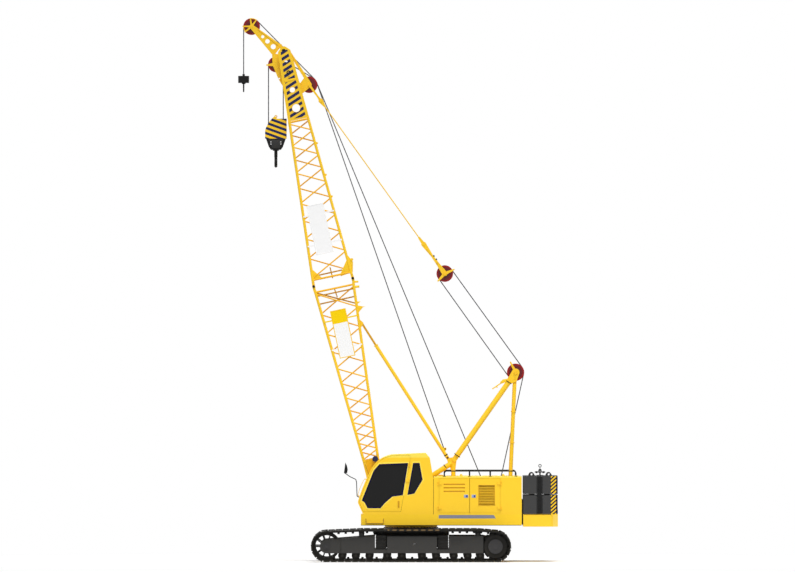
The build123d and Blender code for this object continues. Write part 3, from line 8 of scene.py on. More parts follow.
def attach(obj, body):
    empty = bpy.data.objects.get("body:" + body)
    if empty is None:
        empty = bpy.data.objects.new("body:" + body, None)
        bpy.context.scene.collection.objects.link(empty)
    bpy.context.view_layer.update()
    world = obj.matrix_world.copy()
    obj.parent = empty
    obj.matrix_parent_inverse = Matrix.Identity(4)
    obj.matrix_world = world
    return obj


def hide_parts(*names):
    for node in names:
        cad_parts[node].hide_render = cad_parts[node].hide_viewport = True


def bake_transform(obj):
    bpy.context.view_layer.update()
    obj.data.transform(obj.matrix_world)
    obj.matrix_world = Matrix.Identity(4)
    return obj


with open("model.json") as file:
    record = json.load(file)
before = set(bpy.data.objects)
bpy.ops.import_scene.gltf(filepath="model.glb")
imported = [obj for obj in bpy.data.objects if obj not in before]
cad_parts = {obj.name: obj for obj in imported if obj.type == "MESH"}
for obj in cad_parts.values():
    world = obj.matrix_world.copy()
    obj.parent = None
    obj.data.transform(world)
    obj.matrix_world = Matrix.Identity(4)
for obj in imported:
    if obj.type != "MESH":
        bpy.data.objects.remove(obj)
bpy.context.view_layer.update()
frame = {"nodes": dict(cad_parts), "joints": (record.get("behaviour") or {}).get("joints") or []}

# Setting: the machine is seen square from its left side, from far away through a long lens. A white
# surrounding and three broad lamps light it evenly, a little more from above.
SENSOR = 0.036
LENS = 1.0
VIEW_WIDTH = 23.055
VIEW_HEIGHT = 7.984
VIEW_SHIFT = 0.0104
AMBIENT = 0.4
LAMPS = (("overhead", 2.25, (-22, 0, 20), 30), ("viewer_side", 0.45, (-75, 0, 160), 50),
         ("far_side", 0.5, (-55, 0, -20), 50))

bpy.ops.object.select_all(action="DESELECT")
view_distance = VIEW_WIDTH * LENS / SENSOR
bpy.ops.object.camera_add(location=(VIEW_SHIFT, view_distance, VIEW_HEIGHT),
                          rotation=(math.pi / 2, 0, math.pi))
camera = bpy.context.object
camera.data.sensor_width = SENSOR * 1000
camera.data.lens = LENS * 1000
camera.data.clip_start = 10
camera.data.clip_end = 2000
bpy.context.scene.camera = camera

for name, power, turn, softness in LAMPS:
    bpy.ops.object.light_add(type="SUN", rotation=[math.radians(angle) for angle in turn])
    lamp = bpy.context.object
    lamp.name = name
    lamp.data.energy = power
    lamp.data.angle = math.radians(softness)


def node(tree, kind, inputs, **settings):
    """A node with its settings, each input a value or another node's output."""
    made = tree.nodes.new("ShaderNode" + kind)
    for setting, value in settings.items():
        setattr(made, setting, value)
    for socket, value in inputs.items():
        if isinstance(value, bpy.types.NodeSocket):
            tree.links.new(value, made.inputs[socket])
        else:
            made.inputs[socket].default_value = value
    return made


def reckon(tree, operation, *values):
    """A sum from numbers and from other nodes' outputs."""
    return node(tree, "Math", dict(enumerate(values)), operation=operation).outputs[0]


bpy.context.scene.view_settings.view_transform = "Standard"
world = bpy.context.scene.world or bpy.data.worlds.new("surroundings")
bpy.context.scene.world = world
world.use_nodes = True
tree = world.node_tree
tree.nodes.clear()
rays = node(tree, "LightPath", {})
seen = rays.outputs["Is Camera Ray"]
for kind in ("Is Glossy Ray", "Is Transmission Ray"):
    seen = reckon(tree, "MAXIMUM", seen, rays.outputs[kind])
strength = node(tree, "MapRange", {"To Min": AMBIENT, "Value": seen})
sky = node(tree, "Background", {"Color": (1, 1, 1, 1), "Strength": strength.outputs[0]})
node(tree, "OutputWorld", {"Surface": sky.outputs[0]})


# Floor: a plain pale sheet under the machine, matt as paper. It is no part of the machine, and only
# catches its shadow.
def rgb(red, green, blue):
    """A screen colour, each part from 0 to 255, as a linear one."""
    return [(part / 255) ** 2.2 for part in (red, green, blue)] + [1]


bpy.ops.object.select_all(action="DESELECT")
bpy.ops.mesh.primitive_circle_add(vertices=96, radius=16, fill_type="NGON")
floor = bpy.context.object
floor.name = "floor"
floor_finish = bpy.data.materials.new("floor_sheet")
floor_finish.use_nodes = True
floor_shader = floor_finish.node_tree.nodes["Principled BSDF"]
floor_shader.inputs["Base Color"].default_value = rgb(246, 246, 246)
floor_shader.inputs["Roughness"].default_value = 0.9
floor.data.materials.append(floor_finish)

# Crawlers: two loops of cast shoes on links, and the frames, wheels and rollers that carry them, all
# dark iron that soil has dulled. The frames are welded boxes with ribbed pockets for the crossbeams.
joints = {joint["name"]: joint for joint in frame["joints"]}
FORWARD = Vector((1, 0, 0))
OUTWARD = Vector((0, 1, 0))
UP = Vector((0, 0, 1))
MIRROR = Matrix.Scale(-1, 4, OUTWARD)
DUST = rgb(176, 160, 128)
DUST_HEIGHT = 1.3
CLOUD_SCALE = 1.6
PEEL_SCALE = 260
PEEL_DEPTH = 0.0004


def pin(joint):
    """The place of a joint's axis."""
    return Vector(joints[joint]["pos_m"])


slew_x = pin("slew").x


def spot(forward, left, up):
    """A point from its distances forward of the slewing axis, left of the middle and above ground."""
    return Vector((slew_x + forward, left, up))


def all_of(tree, first, *others):
    """One where every value is one."""
    for value in others:
        first = reckon(tree, "MULTIPLY", first, value)
    return first


def between(tree, value, low, high):
    """One where a value lies between two limits, and nought outside them."""
    return all_of(tree, reckon(tree, "GREATER_THAN", value, low), reckon(tree, "LESS_THAN", value, high))


def beyond(tree, value, limit):
    """One where a value is further from nought than a limit."""
    return reckon(tree, "GREATER_THAN", reckon(tree, "ABSOLUTE", value), limit)


def share_along(tree, place, direction):
    """How much of a place or a normal lies along a direction."""
    return node(tree, "VectorMath", {0: place, 1: direction}, operation="DOT_PRODUCT").outputs["Value"]


def place_along(tree, direction, origin=(0, 0, 0)):
    """How far a point of the piece lies along a direction."""
    place = node(tree, "TexCoord", {}).outputs["Object"]
    return reckon(tree, "SUBTRACT", share_along(tree, place, direction),
                  Vector(direction).dot(Vector(origin)))


def place_forward(tree):
    """How far a point of the piece lies forward of the slewing axis."""
    return place_along(tree, FORWARD, spot(0, 0, 0))


def facing(tree, direction):
    """How squarely a face looks along a direction."""
    return share_along(tree, node(tree, "NewGeometry", {}).outputs["True Normal"], direction)


def mix(tree, factor, first, second, **settings):
    """A mixture of two colours."""
    return node(tree, "Mix", {"Factor": factor, "A": first, "B": second}, data_type="RGBA", **settings)


def coat(name, color, roughness=0.42, cloud=0.05, dust=0.05, peel=0.25, sheen=0.35):
    """A sprayed coat: nearly even, with an orange peel and some dust that thickens near the ground."""
    finish = bpy.data.materials.new(name)
    finish.use_nodes = True
    tree = finish.node_tree
    shader = tree.nodes["Principled BSDF"]
    shader.inputs["Roughness"].default_value = roughness
    shader.inputs["Specular IOR Level"].default_value = sheen
    place = node(tree, "TexCoord", {}).outputs["Object"]
    noise = node(tree, "TexNoise", {"Scale": CLOUD_SCALE, "Detail": 5, "Vector": place})
    light = node(tree, "MapRange", {"To Min": 1 - cloud, "To Max": 1 + cloud,
                                    "Value": noise.outputs["Fac"]})
    low = node(tree, "MapRange", {"From Min": DUST_HEIGHT, "From Max": 0, "To Max": dust,
                                  "Value": place_along(tree, UP)})
    tint = mix(tree, 1, color, light.outputs["Result"], blend_type="MULTIPLY", name="tint")
    dusty = mix(tree, low.outputs["Result"], tint.outputs["Result"], DUST)
    tree.links.new(dusty.outputs["Result"], shader.inputs["Base Color"])
    grain = node(tree, "TexNoise", {"Scale": PEEL_SCALE, "Vector": place})
    bump = node(tree, "Bump", {"Strength": peel, "Distance": PEEL_DEPTH, "Height": grain.outputs["Fac"]})
    tree.links.new(bump.outputs["Normal"], shader.inputs["Normal"])
    return finish


def paint_over(finish, color, where):
    """Puts a second colour on a coat wherever the given value is one."""
    tree = finish.node_tree
    under = tree.nodes["tint"].inputs["A"]
    first = under.links[0].from_socket if under.links else under.default_value
    tree.links.new(mix(tree, where, first, color).outputs["Result"], under)


def stripes(tree, direction, origin, period, share):
    """One on every stripe across a direction, and nought between them."""
    turns = reckon(tree, "DIVIDE", place_along(tree, direction, origin), period)
    return reckon(tree, "LESS_THAN", reckon(tree, "FRACT", turns), share)


def dress(finish, *names):
    """Gives solid pieces a finish."""
    for name in names:
        piece = frame["nodes"][name]
        for slot in piece.material_slots:
            slot.material = finish
        if not piece.material_slots:
            piece.data.materials.append(finish)


def begin(operator, **settings):
    """Starts a piece from a primitive, with nothing else selected."""
    bpy.ops.object.select_all(action="DESELECT")
    operator(**settings)
    return bpy.context.object


def block(centre, size, edge=0.004, turn=(0, 0, 0)):
    """A block with rounded edges. Its turn is in degrees about X, Y and Z."""
    turn = [math.radians(angle) for angle in turn]
    piece = begin(bpy.ops.mesh.primitive_cube_add, size=1, location=centre, rotation=turn)
    piece.scale = size
    bpy.ops.object.transform_apply()
    bpy.ops.object.mode_set(mode="EDIT")
    bpy.ops.mesh.bevel(offset=edge, segments=2, affect="EDGES")
    bpy.ops.object.mode_set(mode="OBJECT")
    return piece


def rod(start, end, radius, edge=0.003, sides=24):
    """A round bar with chamfered ends."""
    run = Vector(end) - Vector(start)
    piece = begin(bpy.ops.mesh.primitive_cylinder_add, vertices=sides, radius=radius,
                  depth=run.length - 2 * edge, location=(Vector(start) + Vector(end)) / 2,
                  rotation=run.to_track_quat("Z", "Y").to_euler())
    bpy.ops.object.transform_apply()
    bpy.ops.object.mode_set(mode="EDIT")
    bpy.ops.mesh.select_all(action="DESELECT")
    bpy.ops.mesh.select_face_by_sides(number=4, type="NOTEQUAL")
    bpy.ops.mesh.inset(thickness=edge, depth=edge)
    bpy.ops.object.mode_set(mode="OBJECT")
    return piece


def bent_bar(points, radius):
    """A round bar bent through points."""
    line = bpy.data.curves.new("bent_bar", "CURVE")
    line.dimensions = "3D"
    line.bevel_depth = radius
    line.bevel_resolution = 3
    line.use_fill_caps = True
    run = line.splines.new("POLY")
    run.points.add(len(points) - 1)
    for point, place in zip(run.points, points):
        point.co = (*place, 1)
    piece = bpy.data.objects.new("bent_bar", line)
    bpy.context.collection.objects.link(piece)
    bpy.ops.object.select_all(action="DESELECT")
    piece.select_set(True)
    bpy.context.view_layer.objects.active = piece
    bpy.ops.object.convert(target="MESH")
    return bpy.context.object


def again(piece, *moves):
    """A piece and its copies, each with its own mesh moved by a matrix."""
    made = [piece]
    for move in moves:
        copy = piece.copy()
        copy.data = piece.data.copy()
        copy.data.transform(move)
        if move.determinant() < 0:
            copy.data.flip_normals()
        bpy.context.collection.objects.link(copy)
        made.append(copy)
    return made


def shift(forward, left, up):
    """A move by distances."""
    return Matrix.Translation((forward, left, up))


def ring_of(piece, centre, axis, count):
    """A piece repeated all round an axis."""
    turns = []
    for i in range(1, count):
        turn = Matrix.Rotation(2 * math.pi * i / count, 4, Vector(axis))
        turns.append(Matrix.Translation(centre) @ turn @ Matrix.Translation(-Vector(centre)))
    return again(piece, *turns)


def weld(pieces):
    """Joins pieces into one."""
    bpy.ops.object.select_all(action="DESELECT")
    for piece in pieces:
        piece.select_set(True)
    bpy.context.view_layer.objects.active = pieces[0]
    if len(pieces) > 1:
        bpy.ops.object.join()
    return bpy.context.object


def complete(pieces, name, finish, body=None):
    """Joins pieces, names them, gives them a finish and hangs them on their body, if they have one."""
    piece = weld(pieces)
    piece.name = name
    piece.data.name = name
    piece.data.materials.clear()
    piece.data.materials.append(finish)
    bpy.ops.object.shade_smooth_by_angle(angle=math.radians(35))
    if body:
        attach(piece, body)
    return piece


def on_both_sides(pieces, name, finish, body):
    """Completes pieces together with their mirror image on the machine's other side."""
    return complete(again(weld(pieces), MIRROR), name, finish, body)


def bolt(place, direction, size=0.012):
    """A hexagon head on a washer."""
    direction = Vector(direction).normalized()
    washer = rod(place, place + direction * size * 0.4, size * 1.3, 0.001, 12)
    head = rod(place, place + direction * size * 1.2, size, 0.002, 6)
    return weld([washer, head])


iron = coat("iron_coat", rgb(60, 60, 60), roughness=0.6, sheen=0.1, dust=0.03)
# A darker iron for the wheels, the rollers and the ribs in the frames' pockets.
dark_iron = coat("dark_iron_coat", rgb(38, 38, 38), roughness=0.55, sheen=0.1, dust=0.03)
shoe_iron = coat("shoe_coat", rgb(38, 38, 38), roughness=0.5, cloud=0.15, dust=0.04, sheen=0.1)
drive_grey = coat("drive_coat", rgb(62, 62, 64), roughness=0.5, dust=0.03, sheen=0.1)
plate_metal = coat("plate_metal", rgb(176, 176, 176), roughness=0.4, dust=0.02)
dress(shoe_iron, "track_left", "track_right")
dress(iron, "track_frame_left", "track_frame_right", "carbody")
dress(dark_iron, "idlers", "sprockets", "rollers")

SHOE_PITCH = 0.209
TOP_RUN = 0.905
# Painted highlight: the outer ends of the top run's shoes under the slewing ring are painted tan, one dash
# to each shoe, for the light from above.
tree = shoe_iron.node_tree
under_ring = between(tree, place_forward(tree), -0.82, 0.68)
top_run = reckon(tree, "GREATER_THAN", place_along(tree, UP), TOP_RUN)
shoe_ends = beyond(tree, facing(tree, OUTWARD), 0.5)
shoes = stripes(tree, FORWARD, spot(0, 0, 0), SHOE_PITCH, 0.65)
paint_over(shoe_iron, rgb(112, 92, 66), all_of(tree, under_ring, top_run, shoe_ends, shoes))

FRAME_FACE = 2.0
ribs = []
for front, rear in ((1.03, 0.70), (-0.76, -1.10)):
    for height in (0.43, 0.53, 0.63, 0.71):
        ribs.append(block(spot((front + rear) / 2, 1.972, height), (front - rear, 0.07, 0.016), 0.003))
on_both_sides(ribs, "pocket_ribs", dark_iron, "lower")

TUMBLER_PLACE = 2.443
TUMBLER_HEIGHT = 0.45
caps = []
for forward, radius in ((TUMBLER_PLACE, 0.1), (-TUMBLER_PLACE, 0.205)):
    centre = spot(forward, FRAME_FACE, TUMBLER_HEIGHT)
    cap = rod(centre, centre + OUTWARD * 0.014, radius, 0.004, 48)
    hub = rod(centre, centre + OUTWARD * 0.03, radius * 0.4, 0.004, 32)
    first_bolt = bolt(centre + Vector((radius * 0.8, 0.013, 0)), OUTWARD, 0.011)
    caps.extend([cap, hub] + ring_of(first_bolt, centre, OUTWARD, 10))
on_both_sides(caps, "wheel_caps", drive_grey, "lower")

ROLLER_HEIGHT = 0.187
first_roller, *other_rollers = 1.987, 1.598, 1.201, 0.690, 0.267, -0.316, -0.725, -1.235, -1.636, -2.0
boss = rod(spot(first_roller, 1.96, ROLLER_HEIGHT), spot(first_roller, 2.012, ROLLER_HEIGHT), 0.04)
bosses = again(boss, *[shift(forward - first_roller, 0, 0) for forward in other_rollers])
on_both_sides(bosses, "roller_bosses", dark_iron, "lower")

FLANGE_PLACE = 2.036
joint_flange = block(spot(FLANGE_PLACE, FRAME_FACE, 0.455), (0.024, 0.02, 0.39), 0.003)
joint_bolts = again(bolt(spot(FLANGE_PLACE, FRAME_FACE + 0.009, 0.29), OUTWARD, 0.01),
                    *[shift(0, 0, 0.055 * i) for i in range(1, 7)])
grip = bent_bar([spot(-1.19, 1.995, 0.6), spot(-1.19, 2.045, 0.6), spot(-1.47, 2.045, 0.6),
                 spot(-1.47, 1.995, 0.6)], 0.009)
hole_rim = rod(spot(1.26, 1.995, 0.58), spot(1.26, 2.012, 0.58), 0.03)
on_both_sides([joint_flange, grip, hole_rim] + joint_bolts, "frame_fittings", iron, "lower")
slot_plate = block(spot(-0.09, 1.99, 0.53), (0.086, 0.02, 0.028), 0.003)
on_both_sides([slot_plate], "slot_plates", plate_metal, "lower")

# Slewing ring: a forged ring between carbody and turntable, held by a circle of high bolts and kept
# greased, so it is browner than the iron around it.
BOLT_CIRCLE = 0.777
grease = coat("greased_steel", rgb(84, 72, 58), roughness=0.35)
dress(grease, "slew_ring", "boom_coupling_pins")
ring_bolts = ring_of(bolt(spot(BOLT_CIRCLE, 0, 0.979), UP, 0.013), spot(0, 0, 0.98), UP, 48)
complete(ring_bolts, "slewing_ring_bolts", grease, "lower")

# Turntable: a welded deck, painted yellow, with one grey band on each side that ends at a slant, a
# step bent from a round bar in front, black rub strips along its edges and black seals at its tail.
DECK_SIDE = 1.6
BAND_SLANT = -0.6
BAND_FRONT = -0.8
black = coat("black_coat", rgb(36, 36, 36), roughness=0.45, sheen=0.1)
deck_coat = coat("deck_coat", rgb(255, 208, 36), dust=0)
# Painted shade: the step is painted a dark yellow for the shade in its recess.
shaded_step_coat = coat("shaded_step_coat", rgb(150, 110, 8))
tree = deck_coat.node_tree
height = place_along(tree, UP)
slanted = reckon(tree, "ADD", place_forward(tree), reckon(tree, "MULTIPLY", height, BAND_SLANT))
band = all_of(tree, between(tree, slanted, -3.21, -1.55), between(tree, height, 1.259, 1.36),
              reckon(tree, "LESS_THAN", place_forward(tree), BAND_FRONT),
              beyond(tree, place_along(tree, OUTWARD), DECK_SIDE - 0.004))
paint_over(deck_coat, rgb(130, 134, 150), band)
dress(deck_coat, "turntable")

STEP_OUT = DECK_SIDE + 0.07
step = bent_bar([spot(1.305, DECK_SIDE - 0.005, 1.25), spot(1.305, DECK_SIDE + 0.02, 1.235),
                 spot(1.3, STEP_OUT, 1.116), spot(0.8, STEP_OUT, 1.116),
                 spot(0.797, DECK_SIDE + 0.02, 1.235), spot(0.797, DECK_SIDE - 0.005, 1.25)], 0.01)
tread = block(spot(1.05, DECK_SIDE + 0.04, 1.118), (0.49, 0.06, 0.008), 0.002)
on_both_sides([step, tread], "deck_steps", shaded_step_coat, "upper")
rub_strip = block(spot(-0.876, DECK_SIDE, 1.063), (4.64, 0.014, 0.012), 0.003)
on_both_sides([rub_strip], "deck_edges", black, "upper")
seal = block(spot(-3.224, 1.5, 1.44), (0.034, 0.16, 0.72), 0.006)
on_both_sides([seal], "tail_seals", black, "upper")

# Cab: pressed steel panels with a roof that curves down to the windscreen, with a painted highlight on top.
# Tinted panes sit in dark rubber, and the door has its own seam, handle and grab rail.
YELLOW = rgb(255, 206, 43)
# Painted highlight: a paler yellow for tops that face the light.
HIGHLIGHT_YELLOW = rgb(255, 226, 84)
GASKET = 0.03
GASKET_DEPTH = 0.02
HIGHLIGHT_ROOM = 0.042
HIGHLIGHT_DEPTH = 0.006
WINDOW_FACE = DECK_SIDE - 0.006
HIGHLIGHT_FACE = DECK_SIDE - 0.001
INNER_FACE = 0.656
CAB_ROOF = 3.02
SIDE_WINDOW = ((1.427, 1.778), (1.082, 2.642), (0.919, 2.830), (0.081, 2.865), (0.238, 1.931),
               (0.542, 1.891), (0.757, 1.705), (0.882, 1.554), (1.256, 1.554), (1.346, 1.726))
REAR_WINDOW = ((-0.058, 2.865), (-0.249, 2.865), (-0.334, 2.378), (-0.099, 1.981), (0.104, 1.940))


def spots(left, *places):
    """Points at one distance left of the middle, each from its distances forward and up."""
    return [spot(forward, left, up) for forward, up in places]


def highlight_above(finish, height):
    """Paints a highlight on a coat above a height, for the light that falls from above."""
    tree = finish.node_tree
    paint_over(finish, HIGHLIGHT_YELLOW, reckon(tree, "GREATER_THAN", place_along(tree, UP), height))


def apply(piece, kind, **settings):
    """Adds a modifier and makes it part of the mesh."""
    modifier = piece.modifiers.new(kind.lower(), kind)
    for setting, value in settings.items():
        setattr(modifier, setting, value)
    bpy.context.view_layer.objects.active = piece
    bpy.ops.object.modifier_apply(modifier=modifier.name)
    return piece


def thicken(piece, thickness, edge):
    """Gives a flat face a thickness, half to each side, and rounded edges."""
    apply(piece, "SOLIDIFY", thickness=thickness, offset=0)
    return apply(piece, "BEVEL", width=edge, segments=2, limit_method="ANGLE")


def sheet_on(corners):
    """A flat face through its corners."""
    piece = begin(bpy.ops.mesh.primitive_circle_add, vertices=len(corners), fill_type="NGON")
    for vertex, corner in zip(piece.data.vertices, corners):
        vertex.co = corner
    piece.data.update()
    return piece


def surround(corners, width, thickness, edge=0.002):
    """A flat frame inside its corners."""
    piece = sheet_on(corners)
    bpy.ops.object.mode_set(mode="EDIT")
    bpy.ops.mesh.select_all(action="SELECT")
    bpy.ops.mesh.inset(thickness=width)
    bpy.ops.mesh.delete(type="FACE")
    bpy.ops.object.mode_set(mode="OBJECT")
    return thicken(piece, thickness, edge)


def around(corners, room):
    """The same outline, larger by about the given room."""
    middle = sum((Vector(corner) for corner in corners), Vector((0, 0))) / len(corners)
    return [Vector(corner) + (Vector(corner) - middle).normalized() * room for corner in corners]


yellow = coat("yellow_coat", YELLOW)
# Painted shade: a darker yellow for yellow parts that sit in shade: the door handle, the louvres, the
# backstop rods, the boom foot's ribs and a line along the jib's edge.
shaded_yellow = coat("shaded_yellow_coat", rgb(214, 158, 8))
pale = coat("window_highlight_coat", HIGHLIGHT_YELLOW)
tinted = coat("tinted_glass", rgb(34, 34, 34), roughness=0.16, cloud=0, dust=0, peel=0, sheen=0.12)
rubber = coat("window_rubber", rgb(10, 14, 66), roughness=0.6, sheen=0.1)
# Painted highlight: the cab is paler above its roof line.
cab_coat = coat("cab_coat", YELLOW)
highlight_above(cab_coat, CAB_ROOF)
dress(cab_coat, "cab_shell", "cab_door")
dress(tinted, "cab_glass", "cab_door_glass")
complete([surround(spots(WINDOW_FACE, *SIDE_WINDOW), GASKET, GASKET_DEPTH)], "door_window_rubber", rubber,
         "cab_door_leaf")
# Painted highlight: pale strips round the door and rear windows stand for the light on the edges of their
# rubber.
complete([surround(spots(HIGHLIGHT_FACE, *around(SIDE_WINDOW, HIGHLIGHT_ROOM)), 0.034, HIGHLIGHT_DEPTH)],
         "door_window_highlight", pale, "cab_door_leaf")
complete([surround(spots(HIGHLIGHT_FACE, *around(REAR_WINDOW, HIGHLIGHT_ROOM)), 0.03, HIGHLIGHT_DEPTH)],
         "rear_window_highlight", pale, "upper")
gaskets = [surround(spots(face, *window), GASKET, GASKET_DEPTH) for face, window in (
    (WINDOW_FACE, REAR_WINDOW), (INNER_FACE, SIDE_WINDOW), (INNER_FACE, REAR_WINDOW))]
complete(gaskets, "cab_window_rubber", rubber, "upper")

HANDLE_PLACE = 0.36
RAIL_LEFT = 1.5
handle = bent_bar([spot(HANDLE_PLACE, DECK_SIDE + out, up)
                   for out, up in ((0, 1.6), (0.035, 1.6), (0.035, 1.74), (0, 1.74))], 0.007)
handle_plate = block(spot(HANDLE_PLACE, DECK_SIDE + 0.002, 1.67), (0.05, 0.008, 0.2), 0.003)
# Painted shade: the handle is in the darker yellow.
complete([handle, handle_plate], "cab_door_handle", shaded_yellow, "cab_door_leaf")
grab_rail = bent_bar(spots(RAIL_LEFT, (1.341, 2.404), (1.40, 2.31), (1.452, 2.2), (1.498, 2.085),
                           (1.53, 1.98), (1.541, 1.93), (1.51, 1.9)), 0.007)
rail_feet = [rod(*spots(RAIL_LEFT, *ends), 0.009)
             for ends in (((1.29, 2.39), (1.345, 2.404)), ((1.49, 1.9), (1.541, 1.93)))]
complete([grab_rail] + rail_feet, "cab_grab_rail", yellow, "upper")

# Driver's seat: cushions of dark cloth over foam on a steel pedestal, between two consoles with a lever
# on each. The cushions are crowned, pulled in along their piped edges.
SEAT_PLACE = 0.15
CAB_FLOOR = 1.4253
CAB_MIDDLE = 1.125
CONSOLE_REACH = 0.3
PUFFED = 1.08
seat_cloth = coat("seat_cloth", rgb(52, 54, 60), roughness=0.9, peel=1, sheen=0.1)
seat_trim = coat("seat_trim", rgb(30, 31, 34), roughness=0.6, sheen=0.2)


def seat_spot(forward, left, up):
    """A point from its distances forward of the seat, left of the middle and above the cab's floor."""
    return spot(SEAT_PLACE + forward, left, CAB_FLOOR + up)


def cushion(name, centre, size, lean):
    """A stuffed pad: a block that is divided, puffed out, smoothed and leant back by some degrees."""
    piece = begin(bpy.ops.mesh.primitive_cube_add, size=1, location=(0, 0, 0))
    bpy.ops.object.mode_set(mode="EDIT")
    bpy.ops.mesh.subdivide(number_cuts=7)
    bpy.ops.transform.tosphere(value=0.3)
    bpy.ops.object.mode_set(mode="OBJECT")
    piece.scale = [side / PUFFED for side in size]
    piece.rotation_euler = (0, math.radians(lean), 0)
    piece.location = centre
    bpy.ops.object.transform_apply()
    complete([apply(piece, "SUBSURF", levels=1)], name, seat_cloth, "upper")


cushion("seat_cushion", seat_spot(0, CAB_MIDDLE, 0.44), (0.52, 0.49, 0.13), -4)
cushion("seat_back", seat_spot(-0.235, CAB_MIDDLE, 0.74), (0.13, 0.45, 0.6), -9)
seat_parts = [block(seat_spot(0, CAB_MIDDLE, 0.19), (0.36, 0.34, 0.375), 0.02),
              block(seat_spot(-0.27, CAB_MIDDLE, 0.70), (0.05, 0.36, 0.62), 0.018, (0, -9, 0))]
for left in (CAB_MIDDLE - CONSOLE_REACH, CAB_MIDDLE + CONSOLE_REACH):
    console = block(seat_spot(0.065, left, 0.54), (0.52, 0.1, 0.15), 0.02)
    lever = rod(seat_spot(0.27, left, 0.6), seat_spot(0.28, left, 0.74), 0.011)
    knob = block(seat_spot(0.283, left, 0.765), (0.045, 0.045, 0.09), 0.018)
    arm = block(seat_spot(0.02, (left + CAB_MIDDLE) / 2, 0.4), (0.2, 0.3, 0.03), 0.008)
    seat_parts.extend([console, lever, knob, arm])
seat = complete(seat_parts, "seat_frame", seat_trim, "upper")
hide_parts("cab_seat")

# Mirror: a black moulded housing on a steel arm that is bent to stand in front of the cab. A small
# black clamp sits on the arm.
dress(black, "mirror")
mirror_clamp = block(spot(1.88, 1.54, 2.62), (0.04, 0.06, 0.05), 0.008)
complete([mirror_clamp], "mirror_clamp", black, "upper")

# Houses: sheet steel over the machinery, with two doors a side. The front doors have three pressed
# louvres, the rear ones a mesh window, and each door a flush latch of bare metal.
HOUSE_TOP = 2.468
HOUSE_REAR = 3.202
LATCH_HEIGHT = 1.902
MESH_FACE = DECK_SIDE - 0.018
MESH_BAR_FACE = DECK_SIDE - 0.024
MESH_PITCH = 0.0265
WIRE = 0.0035
house_coat = coat("house_coat", YELLOW)
# Painted highlight: the houses are paler above 2.44 m, so their roofs and roof edges show the light from
# above.
highlight_above(house_coat, 2.44)
dress(house_coat, "house_left", "house_right")
dress(yellow, "house_door_left_front", "house_door_left_rear", "house_door_right_front",
      "house_door_right_rear")
latch_metal = coat("latch_metal", rgb(150, 166, 205), roughness=0.35)
latch_dark = coat("latch_dark", rgb(52, 70, 140), roughness=0.4)
mesh_coat = coat("mesh_coat", rgb(240, 188, 36))
gap_shade_coat = coat("cab_gap_shade", rgb(88, 70, 12), roughness=0.7)


def plate(corners, thickness, edge=0.002):
    """A flat plate with its corners given, half its thickness to each side of them."""
    return thicken(sheet_on(corners), thickness, edge)


def on_hand(hand, piece):
    """A piece as it is for the left side, turned into its mirror image for the right one."""
    if hand == "right":
        piece.data.transform(MIRROR)
        piece.data.flip_normals()
    return piece


# Painted shade: the louvres are in the darker yellow.
for hand in ("left", "right"):
    louvres = [block(spot(-1.253, DECK_SIDE - 0.019, height), (0.618, 0.004, 0.05), 0.001, (32, 0, 0))
               for height in (2.245, 2.143, 2.042)]
    wires = again(rod(*spots(MESH_FACE, (-1.975, 1.64), (-1.975, 2.217)), WIRE, 0.001, 8),
                  *[shift(-MESH_PITCH * i, 0, 0) for i in range(1, 17)])
    bars = again(rod(*spots(MESH_BAR_FACE, (-1.953, 1.67), (-2.42, 1.67)), WIRE, 0.001, 8),
                 *[shift(0, 0, MESH_PITCH * i) for i in range(1, 20)])
    rim = surround(spots(DECK_SIDE + 0.001, (-1.94, 2.233), (-2.433, 2.233), (-2.433, 1.624),
                         (-1.94, 1.624)), 0.016, 0.006)
    complete([on_hand(hand, weld(louvres))], f"{hand}_front_louvres", shaded_yellow, f"{hand}_front_door")
    complete([on_hand(hand, weld(wires + bars + [rim]))], f"{hand}_rear_mesh", mesh_coat,
             f"{hand}_rear_door")
    for forward, door in ((-1.592, "front_door"), (-1.815, "rear_door")):
        dish = block(spot(forward, DECK_SIDE + 0.001, LATCH_HEIGHT), (0.12, 0.01, 0.087), 0.004)
        lever = block(spot(forward - 0.024, DECK_SIDE + 0.007, LATCH_HEIGHT), (0.05, 0.01, 0.062), 0.004)
        for piece, finish, name in ((dish, latch_metal, "latch_dish"), (lever, latch_dark, "latch_lever")):
            complete([on_hand(hand, piece)], f"{hand}_{door}_{name}", finish, f"{hand}_{door}")

roof_edges = []
for hand, front in ((1, -0.653), (-1, 0.3)):
    length, middle = front + HOUSE_REAR, (front - HOUSE_REAR) / 2
    roof_edges.append(block(spot(middle, hand * 1.125, HOUSE_TOP), (length - 0.16, 0.78, 0.02), 0.006))
    for forward in (-1.458, -2.68):
        corners = [(forward + reach, HOUSE_TOP + rise)
                   for reach, rise in ((-0.05, 0), (-0.025, 0.05), (0.025, 0.05), (0.05, 0))]
        roof_edges.append(plate(spots(hand * 1.5, *corners), 0.016))
complete(roof_edges, "house_roofs", house_coat, "upper")
# Painted shade: a dark strip fills the gap between the cab and the house behind it.
strip = block(spot(-0.650, DECK_SIDE - 0.01, 1.89), (0.012, 0.03, 1.02), 0.003)
complete([strip], "cab_house_joint", gap_shade_coat, "upper")

# Hatch: a sheet-steel lid over the engine, painted like the rest, which lies on the right house's
# roof. Three pressed ribs stiffen it.
hatch = block(spot(-0.5, -1.12, HOUSE_TOP + 0.012), (0.9, 0.62, 0.03), 0.01)
hatch_ribs = again(block(spot(-0.5, -0.94, HOUSE_TOP + 0.03), (0.8, 0.03, 0.012), 0.004),
                   shift(0, -0.18, 0), shift(0, -0.36, 0))
complete([hatch] + hatch_ribs, "roof_hatch", yellow, "upper")

